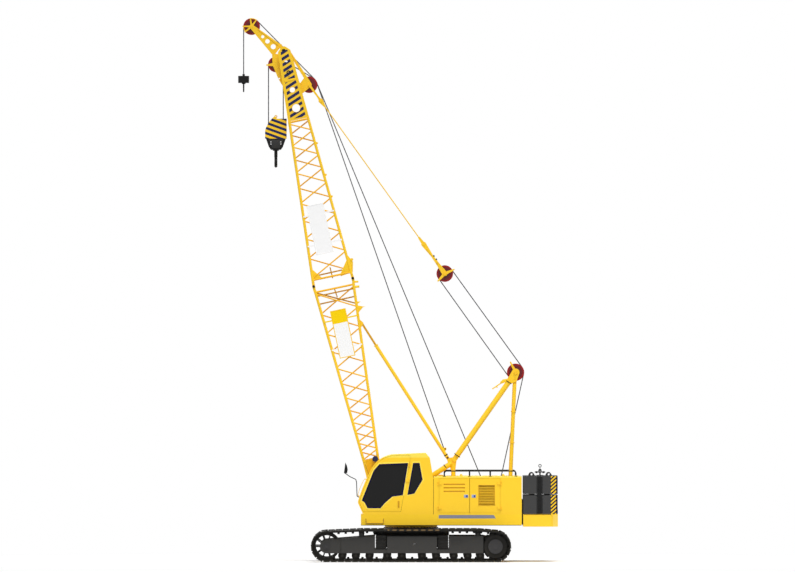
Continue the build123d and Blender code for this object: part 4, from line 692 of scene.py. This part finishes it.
# Handrails: round steel tube, bent and painted black. Each post stands on a flat foot that is bolted
# to the roof of its house.
dress(black, "handrails")
feet = [block(spot(forward, 1.54, HOUSE_TOP + 0.006), (0.09, 0.07, 0.012), 0.003)
        for forward in (-0.966, -1.697, -2.297, -3.036)]
on_both_sides(feet, "rail_feet", black, "upper")

# Winches: three cast drums wound with wire rope, each between two welded stands and capped by a bolted
# hub at both ends. The engine, a grey block, stands in the right house.
DRUM_HEIGHT = 1.85
DRUM_PLACES = (-1.168, -1.992, -2.749)
DRUM_END = 0.47
WRAP_RADIUS = 0.012
WRAP_PITCH = 0.0248
WOUND = 0.2623
drum_brown = coat("drum_coat", rgb(96, 60, 40), roughness=0.5)
engine_grey = coat("engine_coat", rgb(90, 96, 100), roughness=0.55)
rope_steel = coat("rope_steel", rgb(90, 92, 96), roughness=0.5, cloud=0.1, sheen=0.1)
dress(drum_brown, "drums")
dress(yellow, "drum_stands")
dress(engine_grey, "engine")


def hoop(centre, radius, thickness, steps=32, sides=8):
    """A round ring that faces sideways. Its thickness is the radius of its bar."""
    piece = begin(bpy.ops.mesh.primitive_torus_add, location=centre, rotation=(math.pi / 2, 0, 0),
                  major_segments=steps, minor_segments=sides, major_radius=radius, minor_radius=thickness)
    bpy.ops.object.transform_apply()
    return piece


wraps = [apply(hoop(spot(forward, -0.385, DRUM_HEIGHT), WOUND, WRAP_RADIUS, 40, 6), "ARRAY", count=32,
               use_relative_offset=False, use_constant_offset=True,
               constant_offset_displace=(0, WRAP_PITCH, 0)) for forward in DRUM_PLACES]
complete(wraps, "rope_wraps", rope_steel, "upper")
hubs = []
for forward in DRUM_PLACES:
    for hand in (1, -1):
        face = spot(forward, hand * DRUM_END, DRUM_HEIGHT)
        hubs.append(rod(face, face + OUTWARD * hand * 0.035, 0.11, 0.005, 32))
        first_bolt = bolt(face + Vector((0.085, hand * 0.034, 0)), OUTWARD * hand, 0.01)
        hubs.extend(ring_of(first_bolt, face, OUTWARD, 8))
complete(hubs, "drum_hubs", engine_grey, "upper")

# Gantry: round steel tubes with bolted flanges and a hub of plates in the middle, painted yellow, with
# black seals. Its shaft is capped at both ends, and a limit switch with a lever sits beside it.
GANTRY_TOP = Vector((-3.033, 5.484))
MAST_PIN = Vector((-1.262, 2.962))
MAST_HALF = 0.575
SWITCH_LEFT = MAST_HALF + 0.02
dress(yellow, "gantry_base", "gantry_legs", "gantry_mast")
mast_run = (GANTRY_TOP - MAST_PIN).normalized()
mast_length = (GANTRY_TOP - MAST_PIN).length


def mast_spot(along, left):
    """A point along the gantry's mast from its pin."""
    place = MAST_PIN + mast_run * along
    return spot(place.x, left, place.y)


collars = [rod(mast_spot(start, MAST_HALF), mast_spot(start + 0.02, MAST_HALF), 0.092, 0.003, 32)
           for start in (0.125, mast_length - 0.36)]
strut_spot = spot(-1.006, MAST_HALF, 2.752)
strut_run = Vector((0.787, 0, -0.616))
collars.append(rod(strut_spot, strut_spot + strut_run * 0.02, 0.072, 0.003, 32))
on_both_sides(collars, "mast_seals", black, "upper")
cap = rod(mast_spot(mast_length, MAST_HALF), mast_spot(mast_length, MAST_HALF + 0.045), 0.06)
cap_bolts = ring_of(bolt(mast_spot(mast_length + 0.04, MAST_HALF + 0.044), OUTWARD, 0.008),
                    mast_spot(mast_length, MAST_HALF), OUTWARD, 6)
on_both_sides([cap] + cap_bolts, "gantry_shaft_caps", yellow, "upper")
switch_lever = [plate(spots(SWITCH_LEFT, (-2.80, 5.30), (-2.66, 5.28), (-2.58, 5.2), (-2.62, 5.15),
                            (-2.72, 5.19), (-2.84, 5.24)), 0.05, 0.006),
                rod(*spots(SWITCH_LEFT, (-2.62, 5.18), (-2.355, 5.0)), 0.014),
                rod(*spots(SWITCH_LEFT, (-2.47, 5.09), (-2.50, 5.04)), 0.016)]
complete(switch_lever, "gantry_limit_switch", yellow, "upper")

# Ropes: wire rope of six strands, each run a straight twisted length from sheave to sheave or drum.
# All runs are taut.
ROPE_RADIUS = 0.016
LAY = 0.19
STRAND_DIP = 0.86
ROPE_STEP = 0.04
ROPE_LEFT = 0.07
BOOM_ANGLE = math.radians(78)
GUIDE_GROOVE = 0.226
MAIN_GROOVE = 0.214
AUX_GROOVE = 0.231
GANTRY_GROOVE = 0.238
BRIDLE_GROOVE = 0.229
BRIDLE_PLACE = 3.521
BLOCK_AXLE = 12.588
foot_pin = pin("boom_luff")
along_boom = Vector((math.cos(BOOM_ANGLE), 0, math.sin(BOOM_ANGLE)))
boom_front = Vector((math.sin(BOOM_ANGLE), 0, -math.cos(BOOM_ANGLE)))


def rope(start, end):
    """A taut length of twisted rope between two points."""
    start, end = Vector(start), Vector(end)
    length = (end - start).length
    steps = max(2, round(length / ROPE_STEP))
    piece = begin(bpy.ops.mesh.primitive_circle_add, vertices=12, radius=ROPE_RADIUS, fill_type="NOTHING")
    for vertex in piece.data.vertices:
        if vertex.index % 2:
            vertex.co *= STRAND_DIP
    bpy.ops.object.mode_set(mode="EDIT")
    bpy.ops.mesh.select_all(action="SELECT")
    bpy.ops.mesh.extrude_region_move(TRANSFORM_OT_translate={"value": (0, 0, length / steps)})
    bpy.ops.object.mode_set(mode="OBJECT")
    apply(piece, "ARRAY", count=steps, use_relative_offset=False, use_constant_offset=True,
          constant_offset_displace=(0, 0, length / steps), use_merge_vertices=True)
    apply(piece, "SIMPLE_DEFORM", deform_method="TWIST", deform_axis="Z", angle=2 * math.pi * length / LAY)
    bpy.ops.object.mode_set(mode="EDIT")
    bpy.ops.mesh.select_all(action="SELECT")
    bpy.ops.mesh.fill_holes(sides=0)
    bpy.ops.mesh.normals_make_consistent(inside=False)
    bpy.ops.object.mode_set(mode="OBJECT")
    turn = (end - start).to_track_quat("Z", "Y").to_matrix().to_4x4()
    piece.data.transform(Matrix.Translation(start) @ turn)
    return piece


def tangent(centre_a, radius_a, centre_b, radius_b, side):
    """Where a belt line touches two wheels, on the left (1) or right (-1) of the way from a to b."""
    run = centre_b - centre_a
    length = run.length
    along = run / length
    normal = Vector((-along.y, along.x)) * side
    slope = (radius_a - radius_b) / length
    direction = along * slope + normal * math.sqrt(1 - slope * slope)
    return centre_a + direction * radius_a, centre_b + direction * radius_b


def boom_spot(along, front, left):
    """A point from its distances along the boom, to the front of its line and left of the middle."""
    return foot_pin + along_boom * along + boom_front * front + Vector((0, left, 0))


def flat(place):
    """A point's distance forward of the slewing axis and its height."""
    return Vector((place.x - slew_x, place.z))


def ends_at(start, end, left):
    """The two ends of a run, from flat points, at a distance left of the middle."""
    return spot(start.x, left, start.y), spot(end.x, left, end.y)


def stretch(piece, low, high, share, *bodies):
    """Moves a rope's placement into its mesh. The rope does not stretch: the ends, the share and the bodies
    are not used.
    """
    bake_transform(piece)


guide_axis = flat(boom_spot(12.203, -0.51, 0))
main_axis = flat(boom_spot(12.98, 0.313, 0))
aux_axis = flat(boom_spot(14.201, 0.773, 0))
drums = [Vector((forward, DRUM_HEIGHT)) for forward in DRUM_PLACES]
for drum, left, kind in ((drums[0], ROPE_LEFT, "main"), (drums[1], -ROPE_LEFT, "aux")):
    low, high = ends_at(*tangent(drum, WOUND, guide_axis, GUIDE_GROOVE, 1), left)
    hoist = complete([rope(low, high)], f"{kind}_hoist_rope", rope_steel)
    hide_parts(f"{kind}_rope_lower", f"{kind}_rope_upper")
    stretch(hoist, low, high, 0.05, f"{kind}_rope_at_drum", f"{kind}_rope_at_head")

over_head = []
for axis, groove, guide_left, left in ((main_axis, MAIN_GROOVE, ROPE_LEFT, ROPE_LEFT),
                                       (aux_axis, AUX_GROOVE, -ROPE_LEFT, 0)):
    start, end = tangent(guide_axis, GUIDE_GROOVE, axis, groove, 1)
    over_head.append(rope(spot(start.x, guide_left, start.y), spot(end.x, left, end.y)))
complete(over_head, "head_ropes", rope_steel, "boom")

stay_run = (guide_axis - GANTRY_TOP).normalized()
bridle_axis = GANTRY_TOP + stay_run * BRIDLE_PLACE
for side, name in ((1, "upper_luffing_ropes"), (-1, "lower_luffing_ropes")):
    start, end = tangent(GANTRY_TOP, GANTRY_GROOVE, bridle_axis, BRIDLE_GROOVE, side)
    luffing = complete([rope(*ends_at(start, end, left)) for left in (-ROPE_LEFT, 0, ROPE_LEFT)], name,
                       rope_steel)
    stretch(luffing, *ends_at(start, end, 0), 0.04, "luffing_tackle", "stays")
crossing = tangent(drums[2], WOUND, GANTRY_TOP, -GANTRY_GROOVE, -1)
complete([rope(*ends_at(*crossing, ROPE_LEFT))], "luffing_drum_rope", rope_steel, "upper")

falls = []
for left in (-ROPE_LEFT, 0, ROPE_LEFT):
    for forward in (main_axis.x - MAIN_GROOVE, main_axis.x + MAIN_GROOVE):
        falls.append(rope(spot(forward, left, BLOCK_AXLE), spot(forward, left, main_axis.y)))
falls = complete(falls, "hook_falls", rope_steel)
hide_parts("main_falls")
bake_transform(falls)
aux_line = aux_axis.x + AUX_GROOVE
aux_rope = complete([rope(spot(aux_line, 0, 14.078), spot(aux_line, 0, aux_axis.y))], "aux_hook_fall",
                    rope_steel)
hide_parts("aux_fall")
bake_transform(aux_rope)

# Sheaves: cast wheels, painted red on their rims, darker on their webs and darker still at their bosses.
# Each set turns on a shaft between plates.
SHEAVE_RED = rgb(150, 12, 14)
dress(coat("red_coat", SHEAVE_RED, roughness=0.38), "hook_block_sheaves")
for name, centre, inner, outer in (("gantry_sheaves", GANTRY_TOP, 0.11, 0.205),
                                   ("bridle_sheaves", bridle_axis, 0.09, 0.2),
                                   ("aux_sheave", aux_axis, 0.09, 0.2),
                                   ("main_head_sheaves", main_axis, 0.08, 0.185),
                                   ("guide_sheaves", guide_axis, 0.08, 0.195)):
    finish = coat(f"{name}_coat", SHEAVE_RED, roughness=0.38)
    tree = finish.node_tree
    middle = spot(centre.x, 0, centre.y)
    reaches = [place_along(tree, way, middle) for way in (FORWARD, UP)]
    squares = [reckon(tree, "MULTIPLY", reach, reach) for reach in reaches]
    out = reckon(tree, "SQRT", reckon(tree, "ADD", *squares))
    paint_over(finish, rgb(104, 26, 36), between(tree, out, inner, outer))
    paint_over(finish, rgb(60, 16, 40), reckon(tree, "LESS_THAN", out, inner + 0.02))
    dress(finish, name)

# Backstops: painted tubes that the rods slide in, each with a rubber seal at its mouth, a dark ring
# below it and a lug for its wiring.
BACKSTOP_HALF = 0.477
WIRING_LUG = (0.334, -0.08)
dress(yellow, "backstop_tubes")
# Painted shade: the rods are in the darker yellow.
dress(shaded_yellow, "backstop_rods")
backstop_foot = flat(pin("backstop_swing"))
boom_lug = flat(boom_spot(5.112, -0.568, 0))
backstop_run = (boom_lug - backstop_foot).normalized()


def backstop_spot(along, across=0):
    """A point of the left backstop from its foot, and to the front of its line."""
    place = backstop_foot + backstop_run * along + Vector((backstop_run.y, -backstop_run.x)) * across
    return spot(place.x, BACKSTOP_HALF, place.y)


tube_ring = rod(backstop_spot(3.93), backstop_spot(3.96), 0.056)
lug_ring = hoop(backstop_spot(*WIRING_LUG), 0.028, 0.01)
on_both_sides([tube_ring, lug_ring], "backstop_rings", yellow, "backstop_tube_pair")
neck = rod(backstop_spot(0.16), backstop_spot(0.185), 0.055)
neck_low = rod(backstop_spot(0.06), backstop_spot(0.09), 0.036)
lug_hole = rod(backstop_spot(*WIRING_LUG) - OUTWARD * 0.01, backstop_spot(*WIRING_LUG) + OUTWARD * 0.011,
               0.019)
on_both_sides([neck, neck_low, lug_hole], "backstop_seals", black, "backstop_tube_pair")

# Boom: two welded lattices of round tube joined by pins. Gussets and slanting braces stiffen the joint,
# and small lugs and fairleads on the rear chords hold the ropes and wiring.
FOOT_END, FOOT_HALF = 1.195, 0.21
JOINT_ALONG, JOINT_HALF = 6.455, 0.579
HEAD_END, HEAD_HALF = 13.28, 0.15
WIDE, NARROW, NARROW_FROM = 0.56, 0.31, 11.287
CHORD_ROOM = 0.05
PLATE = 0.012


def within(tree, value, limit):
    """One where a value is nearer to nought than a limit."""
    return reckon(tree, "LESS_THAN", reckon(tree, "ABSOLUTE", value), limit)


def half_depth(along):
    """Half the distance between the boom's front and rear chords."""
    if along <= JOINT_ALONG:
        return FOOT_HALF + (JOINT_HALF - FOOT_HALF) * (along - FOOT_END) / (JOINT_ALONG - FOOT_END)
    return JOINT_HALF + (HEAD_HALF - JOINT_HALF) * (along - JOINT_ALONG) / (HEAD_END - JOINT_ALONG)


def half_spread(along):
    """Half the distance between the boom's left and right chords."""
    if along <= JOINT_ALONG:
        return WIDE
    return WIDE + (NARROW - WIDE) * (along - JOINT_ALONG) / (NARROW_FROM - JOINT_ALONG)


def behind(along, room=0):
    """A corner on the line of the boom's rear chord, or behind it by some room."""
    return along, -half_depth(along) - room


def boom_plate(corners, left, thickness=PLATE):
    """A plate on the boom's side with corners as distances along it and to its front."""
    return plate([boom_spot(along, front, left) for along, front in corners], thickness)


lattice_coat = coat("lattice_coat", YELLOW)
tree = lattice_coat.node_tree
along = place_along(tree, along_boom, foot_pin)
lower_edge = reckon(tree, "ADD", reckon(tree, "MULTIPLY", along, 0.07015), 0.1262)
upper_edge = reckon(tree, "ADD", reckon(tree, "MULTIPLY", along, -0.06286), 0.9847)
chord_edge = reckon(tree, "SUBTRACT", reckon(tree, "MINIMUM", lower_edge, upper_edge), CHORD_ROOM)
# Painted shade: between the chords the lattice, its diagonals, is painted a deeper yellow.
paint_over(lattice_coat, rgb(248, 184, 8),
           within(tree, place_along(tree, boom_front, foot_pin), chord_edge))
dress(lattice_coat, "boom_foot_section", "boom_head_section")

wide = half_spread(6.7)
eye_back = -half_depth(7.0) - 0.12
gussets = [boom_plate(corners, wide) for corners in (
    [behind(7.19, 0.01), behind(7.05, 0.075), (6.98, -half_depth(7.0) - 0.125), behind(6.9, 0.13),
     behind(6.62, 0.045), behind(6.62)],
    [behind(7.02, -0.02), behind(6.64, -0.32), behind(6.58, -0.32), behind(6.62, -0.02)])]
gussets.append(rod(boom_spot(6.99, eye_back, wide - 0.02), boom_spot(6.99, eye_back, wide + 0.02), 0.036))
gussets.append(boom_plate([(6.64, half_depth(6.64) - 0.02), (6.64, half_depth(6.64) - 0.28),
                           (6.96, half_depth(6.96) - 0.02)], wide))
on_both_sides(gussets, "joint_gussets", yellow, "boom")

LUG_LEFT = 0.55
lugs = []
for along, reach, thick in ((6.345, 0.145, 0.042), (6.2, 0.155, 0.052)):
    back = -half_depth(along)
    lugs.append(rod(boom_spot(along, back, LUG_LEFT), boom_spot(along - 0.02, back - reach, LUG_LEFT),
                    thick * 0.6))
for along, reach, low in ((5.74, 0.14, 0.03), (5.58, 0.25, 0.08)):
    back = -half_depth(along)
    lugs.append(boom_plate([(along + low, back - 0.02), (along + 0.012, back - reach * 0.7),
                            (along, back - reach), (along - 0.012, back - reach * 0.7),
                            (along - low * 1.6, back - 0.03), (along - low * 2.6, back)], LUG_LEFT, 0.02))
for along in (9.55, 10.5, 8.9):
    back = -half_depth(along)
    lugs.append(boom_plate([(along + 0.05, back), (along + 0.02, back - 0.08), (along - 0.02, back - 0.08),
                            (along - 0.05, back)], half_spread(along) - 0.01, 0.014))
on_both_sides(lugs, "boom_lugs", yellow, "boom")

BRACE_LEFT = 0.48
braces = []
for front, rear in (((2.825, 8.262), (2.007, 8.448)), ((2.732, 7.682), (1.665, 7.908)),
                    ((2.639, 7.459), (1.638, 7.682)), ((2.717, 7.775), (1.61, 7.485))):
    braces.append(rod(spot(front[0], BRACE_LEFT, front[1]), spot(rear[0], -BRACE_LEFT, rear[1]), 0.018))
for ends in (((2.23, 7.934), (2.137, 7.656)), ((2.349, 8.526), (2.271, 8.21))):
    braces.append(rod(*spots(0, *ends), 0.014))
# Painted shade: the braces inside the boom are painted a darker yellow.
complete(braces, "joint_braces", coat("shaded_brace_coat", rgb(206, 150, 4)), "boom")

pin_heads = []
for front_side in (1, -1):
    centre = boom_spot(JOINT_ALONG, front_side * JOINT_HALF, WIDE + 0.043)
    cotter = centre + OUTWARD * 0.012
    pin_heads.append(rod(centre, centre + OUTWARD * 0.022, 0.034))
    pin_heads.append(rod(cotter - along_boom * 0.045, cotter + along_boom * 0.045, 0.006))
on_both_sides(pin_heads, "coupling_pin_heads", black, "boom")

# Work lamp: a round lamp with a pressed dark blue shell and lens rim. A small yellow bracket bolts it
# to the left side of the boom's foot.
LAMP_ALONG = 1.197
lamp_blue = coat("lamp_coat", rgb(24, 36, 84), roughness=0.35)
lamp_middle = boom_spot(LAMP_ALONG, -0.127, 0.6)
for name, inner, outer, radius, edge in (("work_lamp", -0.03, 0.075, 0.068, 0.014),
                                         ("work_lamp_lens", 0.073, 0.082, 0.05, 0.004)):
    ring = rod(lamp_middle + OUTWARD * inner, lamp_middle + OUTWARD * outer, radius, edge, 32)
    complete([ring], name, lamp_blue, "boom")
stem = block(boom_spot(LAMP_ALONG, -0.16, 0.585), (0.05, 0.03, 0.06), 0.006, (0, -78, 0))
complete([stem], "work_lamp_bracket", yellow, "boom")

# Boom foot: thick plates that narrow to the two hinge pins. Flat steel ribs are welded along their
# edges and middles to stiffen them.
FOOT_FACE = 0.588
# Painted shade: these ribs are in the darker yellow.
ribs = [boom_plate([(0.18, side * 0.09), (1.1, side * 0.2), (1.1, side * 0.17), (0.2, side * 0.06)],
                   FOOT_FACE) for side in (1, -1)]
ribs.append(boom_plate([(0.25, 0.012), (1.05, 0.012), (1.05, -0.012), (0.25, -0.012)], FOOT_FACE))
on_both_sides(ribs, "boom_foot_ribs", shaded_yellow, "boom")

# Boards: blank white sheet metal on both sides of the boom, stiffened by narrow rims. The lower boards
# have a yellow top.
RIM_STAND = 0.053
board_coat = coat("board_coat", rgb(254, 254, 254), roughness=0.8, cloud=0.005, peel=0.02, sheen=0.1)
tree = board_coat.node_tree
paint_over(board_coat, rgb(255, 214, 20), between(tree, place_along(tree, along_boom, foot_pin), 5.26, 5.75))
dress(board_coat, "boom_boards")
rims = []
for along, front, length, width in ((8.05, 0.06, 1.45, 0.5), (4.95, 0.04, 1.4, 0.46)):
    corners = []
    for end, side in ((-1, -1), (-1, 1), (1, 1), (1, -1)):
        reach = along + end * length / 2
        corners.append(boom_spot(reach, front + side * width / 2, half_spread(reach) + RIM_STAND))
    rims.append(surround(corners, 0.022, 0.006))
on_both_sides([rims[1]], "lower_board_rims", yellow, "boom")
on_both_sides([rims[0]], "upper_board_rims", board_coat, "boom")

# Boom head: side plates between edge flanges, striped yellow and dark blue between the flanges, with a
# rounded cap and wedges, and the sheaves' brackets.
NAVY = rgb(8, 22, 72)
TAPER = 0.0628571
FLANGE = 0.044
BAND_PERIOD = 0.152
WEDGE_ALONG = 12.444
TRIM_LEFT = 0.326
RISE = math.radians(33)
head_coat = coat("head_coat", YELLOW)
tree = head_coat.node_tree
along = place_along(tree, along_boom, foot_pin)
depth_here = reckon(tree, "SUBTRACT", JOINT_HALF + JOINT_ALONG * TAPER - FLANGE,
                    reckon(tree, "MULTIPLY", along, TAPER))
panel = all_of(tree, within(tree, place_along(tree, boom_front, foot_pin), depth_here),
               beyond(tree, place_along(tree, OUTWARD), 0.3215), between(tree, along, 11.33, 13.33))
bands = stripes(tree, (math.sin(RISE), 0, math.cos(RISE)), foot_pin + UP * 0.062, BAND_PERIOD, 0.55)
off_wedge = beyond(tree, reckon(tree, "SUBTRACT", along, WEDGE_ALONG), 0.04)
paint_over(head_coat, NAVY, all_of(tree, panel, bands, off_wedge))
dress(head_coat, "boom_head")

oval = [math.radians(15 * i) for i in range(24)]
shaft_end = hoop(boom_spot(12.671, 0, 0.328), 0.048, 0.014)
slot = boom_plate([(13.001 + 0.024 * math.sin(angle) + 0.012 * math.cos(angle),
                    0.005 + 0.046 * math.cos(angle)) for angle in oval], 0.328)
cap_eye = boom_plate([(13.34 + 0.028 * math.sin(angle), 0.01 + 0.055 * math.cos(angle))
                      for angle in oval], TRIM_LEFT)
fittings = [hoop(boom_spot(along, 0, 0.325), radius + 0.006, 0.006, 48)
            for along, radius in ((12.16, 0.077), (11.621, 0.116))]
fittings.append(boom_plate([(12.47, 0.165), (12.42, 0.165), (12.42, -0.165), (12.47, -0.165)], TRIM_LEFT))
on_both_sides(fittings, "head_trim", yellow, "boom")
on_both_sides([shaft_end, cap_eye], "head_openings", black, "boom")
on_both_sides([slot], "head_slots", board_coat, "boom")

# Auxiliary jib: plates with three round holes, each with a rolled edge, and straps of round bar bent
# about its sheave. All is welded and painted yellow.
AUX_SHEAVE = (14.201, 0.773)
STRAP_RADIUS = 0.233
dress(yellow, "aux_jib")
jib_trim = [hoop(boom_spot(along, front, 0.105), radius + 0.004, 0.005, 36) for along, front, radius in (
    (13.845, 0.52, 0.047), (13.686, 0.413, 0.066), (13.499, 0.282, 0.075))]
for first, last in ((-52, 2), (72, 122)):
    turns = [math.radians(first + (last - first) * i / 9) for i in range(10)]
    jib_trim.append(bent_bar([boom_spot(AUX_SHEAVE[0] + STRAP_RADIUS * math.cos(turn),
                                        AUX_SHEAVE[1] + STRAP_RADIUS * math.sin(turn), 0.1)
                              for turn in turns], 0.012))
on_both_sides(jib_trim, "jib_trim", yellow, "boom")
edge_line = bent_bar([boom_spot(13.5, 0.14, 0.108), boom_spot(14.08, 0.62, 0.108)], 0.006)
on_both_sides([edge_line], "jib_edge_shadow", shaded_yellow, "boom")

# Bridle and pendants: a yoke of plates around its sheaves, and two pendants of round bar with forged
# eyes, a turnbuckle with black lock nuts, and pins.
PENDANT_LEFT = 0.208
BRIDLE_FACE = 0.195
dress(yellow, "bridle", "pendants")


def stay_spot(along, left, across=0):
    """A point of the stays from the gantry's top, and to the rear of their line."""
    place = GANTRY_TOP + stay_run * along + Vector((-stay_run.y, stay_run.x)) * across
    return spot(place.x, left, place.y)


nuts = [rod(stay_spot(along, PENDANT_LEFT, 0.02), stay_spot(along, PENDANT_LEFT, 0.062), 0.022, 0.003, 6)
        for along in (4.12, 4.0)]
on_both_sides(nuts, "turnbuckle_nuts", black, "stays")
stay_trim = [rod(stay_spot(along, 0.22), stay_spot(along, 0.236), radius)
             for along, radius in ((4.571, 0.045), (9.691, 0.04), (3.941, 0.032))]
stay_trim.append(rod(stay_spot(4.17, PENDANT_LEFT), stay_spot(4.42, PENDANT_LEFT), 0.03, 0.006, 8))
on_both_sides(stay_trim, "stay_pins", yellow, "stays")
bridle_cap = rod(stay_spot(BRIDLE_PLACE, 0.172), stay_spot(BRIDLE_PLACE, 0.196), 0.05)
cap_bolts = ring_of(bolt(stay_spot(3.555, BRIDLE_FACE), OUTWARD, 0.007),
                    stay_spot(BRIDLE_PLACE, BRIDLE_FACE), OUTWARD, 6)
on_both_sides([bridle_cap] + cap_bolts, "bridle_caps", yellow, "stays")

# Main hook block: striped steel cheeks over red sheaves, an eye on top, and a black cast weight held by
# two pairs of bolts on each side. Both hooks are forged and painted black, and the main one has a latch.
BLOCK_HALF = 0.13
PANEL_FACE = BLOCK_HALF + 0.004
FALL = math.radians(20)
middle = main_axis.x
cheek_coat = coat("cheek_coat", YELLOW)
tree = cheek_coat.node_tree
bands = stripes(tree, (math.sin(FALL) * -1, 0, math.cos(FALL)), spot(middle, 0, 12.272), 0.142, 0.52)
paint_over(cheek_coat, NAVY, all_of(tree, bands, beyond(tree, place_along(tree, OUTWARD), 0.1285)))
dress(cheek_coat, "hook_block")
dress(black, "hook_block_weight", "main_hook", "aux_hook", "aux_hook_weight")
eye_ring = hoop(spot(middle, 0, 12.9), 0.03, 0.012, 32, 10)
eye_bar = rod(spot(middle, -0.11, 12.876), spot(middle, 0.11, 12.876), 0.016)
complete([eye_ring, eye_bar], "block_eye", yellow, "main_hook_block")
bright = coat("bright_bolts", rgb(225, 225, 225), roughness=0.3, cloud=0.03)
heads = [bolt(spot(middle + forward, BLOCK_HALF, height), OUTWARD, 0.015)
         for forward in (-0.142, 0.142) for height in (12.1, 12.16)]
on_both_sides(heads, "block_bolts", bright, "main_hook_block")
rib_face = plate(spots(PANEL_FACE, (middle - 0.21, 12.23), (middle + 0.21, 12.23), (middle + 0.11, 11.98),
                       (middle - 0.11, 11.98)), 0.008)
on_both_sides([rib_face], "block_weight_panels", iron, "main_hook_block")
swivel = rod(spot(middle, 0, 11.905), spot(middle, 0, 11.94), 0.085, 0.006, 8)
latch = plate([spot(middle, left, up) for left, up in ((0.1, 11.72), (0.125, 11.71), (0.13, 11.6),
                                                       (0.115, 11.59))], 0.03)
complete([swivel, latch], "hook_latch", black, "main_hook_block")
aux_nut = rod(spot(aux_line, 0, 13.84), spot(aux_line, 0, 13.875), 0.05, 0.004, 8)
socket = rod(spot(aux_line, 0, 14.07), spot(aux_line, 0, 14.13), 0.032)
complete([aux_nut, socket], "aux_hook_fittings", black, "aux_hook_assembly")

# Counterweight: cast slabs on a yellow tray, striped on their rear corners, with keepers in their side
# channels, and a stand with a hanging chain for lifting them.
KEEPER_PLACE = -3.72
STAND_PLACE = KEEPER_PLACE - 0.02
TRAY_TOP = 1.383
CLIMB = math.radians(42)
weight_coat = coat("weight_coat", rgb(68, 68, 68), roughness=0.65, dust=0, sheen=0.1)
tree = weight_coat.node_tree
stripe_yellow = stripes(tree, (math.sin(CLIMB), 0, math.cos(CLIMB)), spot(-4.2, 0, 1.38), 0.08, 0.5)
zone = all_of(tree, between(tree, place_forward(tree), -4.24, -4.037),
              beyond(tree, place_along(tree, OUTWARD), 1.39), within(tree, facing(tree, UP), 0.5))
inner = between(tree, place_forward(tree), -4.2, -4.045)
paint_over(weight_coat, rgb(20, 26, 60), zone)
paint_over(weight_coat, YELLOW, all_of(tree, zone, stripe_yellow, inner))
dress(weight_coat, "counterweight_lower", "counterweight_upper")
tray_coat = coat("tray_coat", YELLOW, dust=0)
tree = tray_coat.node_tree
paint_over(tray_coat, rgb(255, 216, 92), reckon(tree, "LESS_THAN", place_forward(tree), -4.11))
dress(tray_coat, "counterweight_tray")
dress(black, "counterweight_fittings")
keeper_pins = [rod(spot(KEEPER_PLACE, 1.583, height), spot(KEEPER_PLACE, 1.597, height), 0.034)
               for height in (1.58, 1.82, 2.12, 2.36)]
on_both_sides(keeper_pins, "keeper_pins", black, "upper")
stand = [block(spot(STAND_PLACE + reach, 0, 2.585), (0.05, 0.07, 0.06), 0.008) for reach in (-0.1, 0.1)]
stand.append(rod(spot(STAND_PLACE, 0, 2.62), spot(STAND_PLACE, 0, 2.67), 0.03, 0.006, 16))
complete(stand, "lifting_stand_blocks", black, "upper")
tray_edge = block(spot(-3.745, 1.594, TRAY_TOP - 0.012), (0.98, 0.012, 0.02), 0.003)
on_both_sides([tray_edge], "tray_edges", yellow, "upper")
lamp_red = coat("tail_lamp", rgb(150, 16, 16), roughness=0.25, cloud=0, dust=0, peel=0)
tail_lamps = [block(spot(-4.2455, left, 1.46), (0.009, 0.22, 0.09), 0.002) for left in (1.15, -1.15)]
complete(tail_lamps, "tail_lamps", lamp_red, "upper")
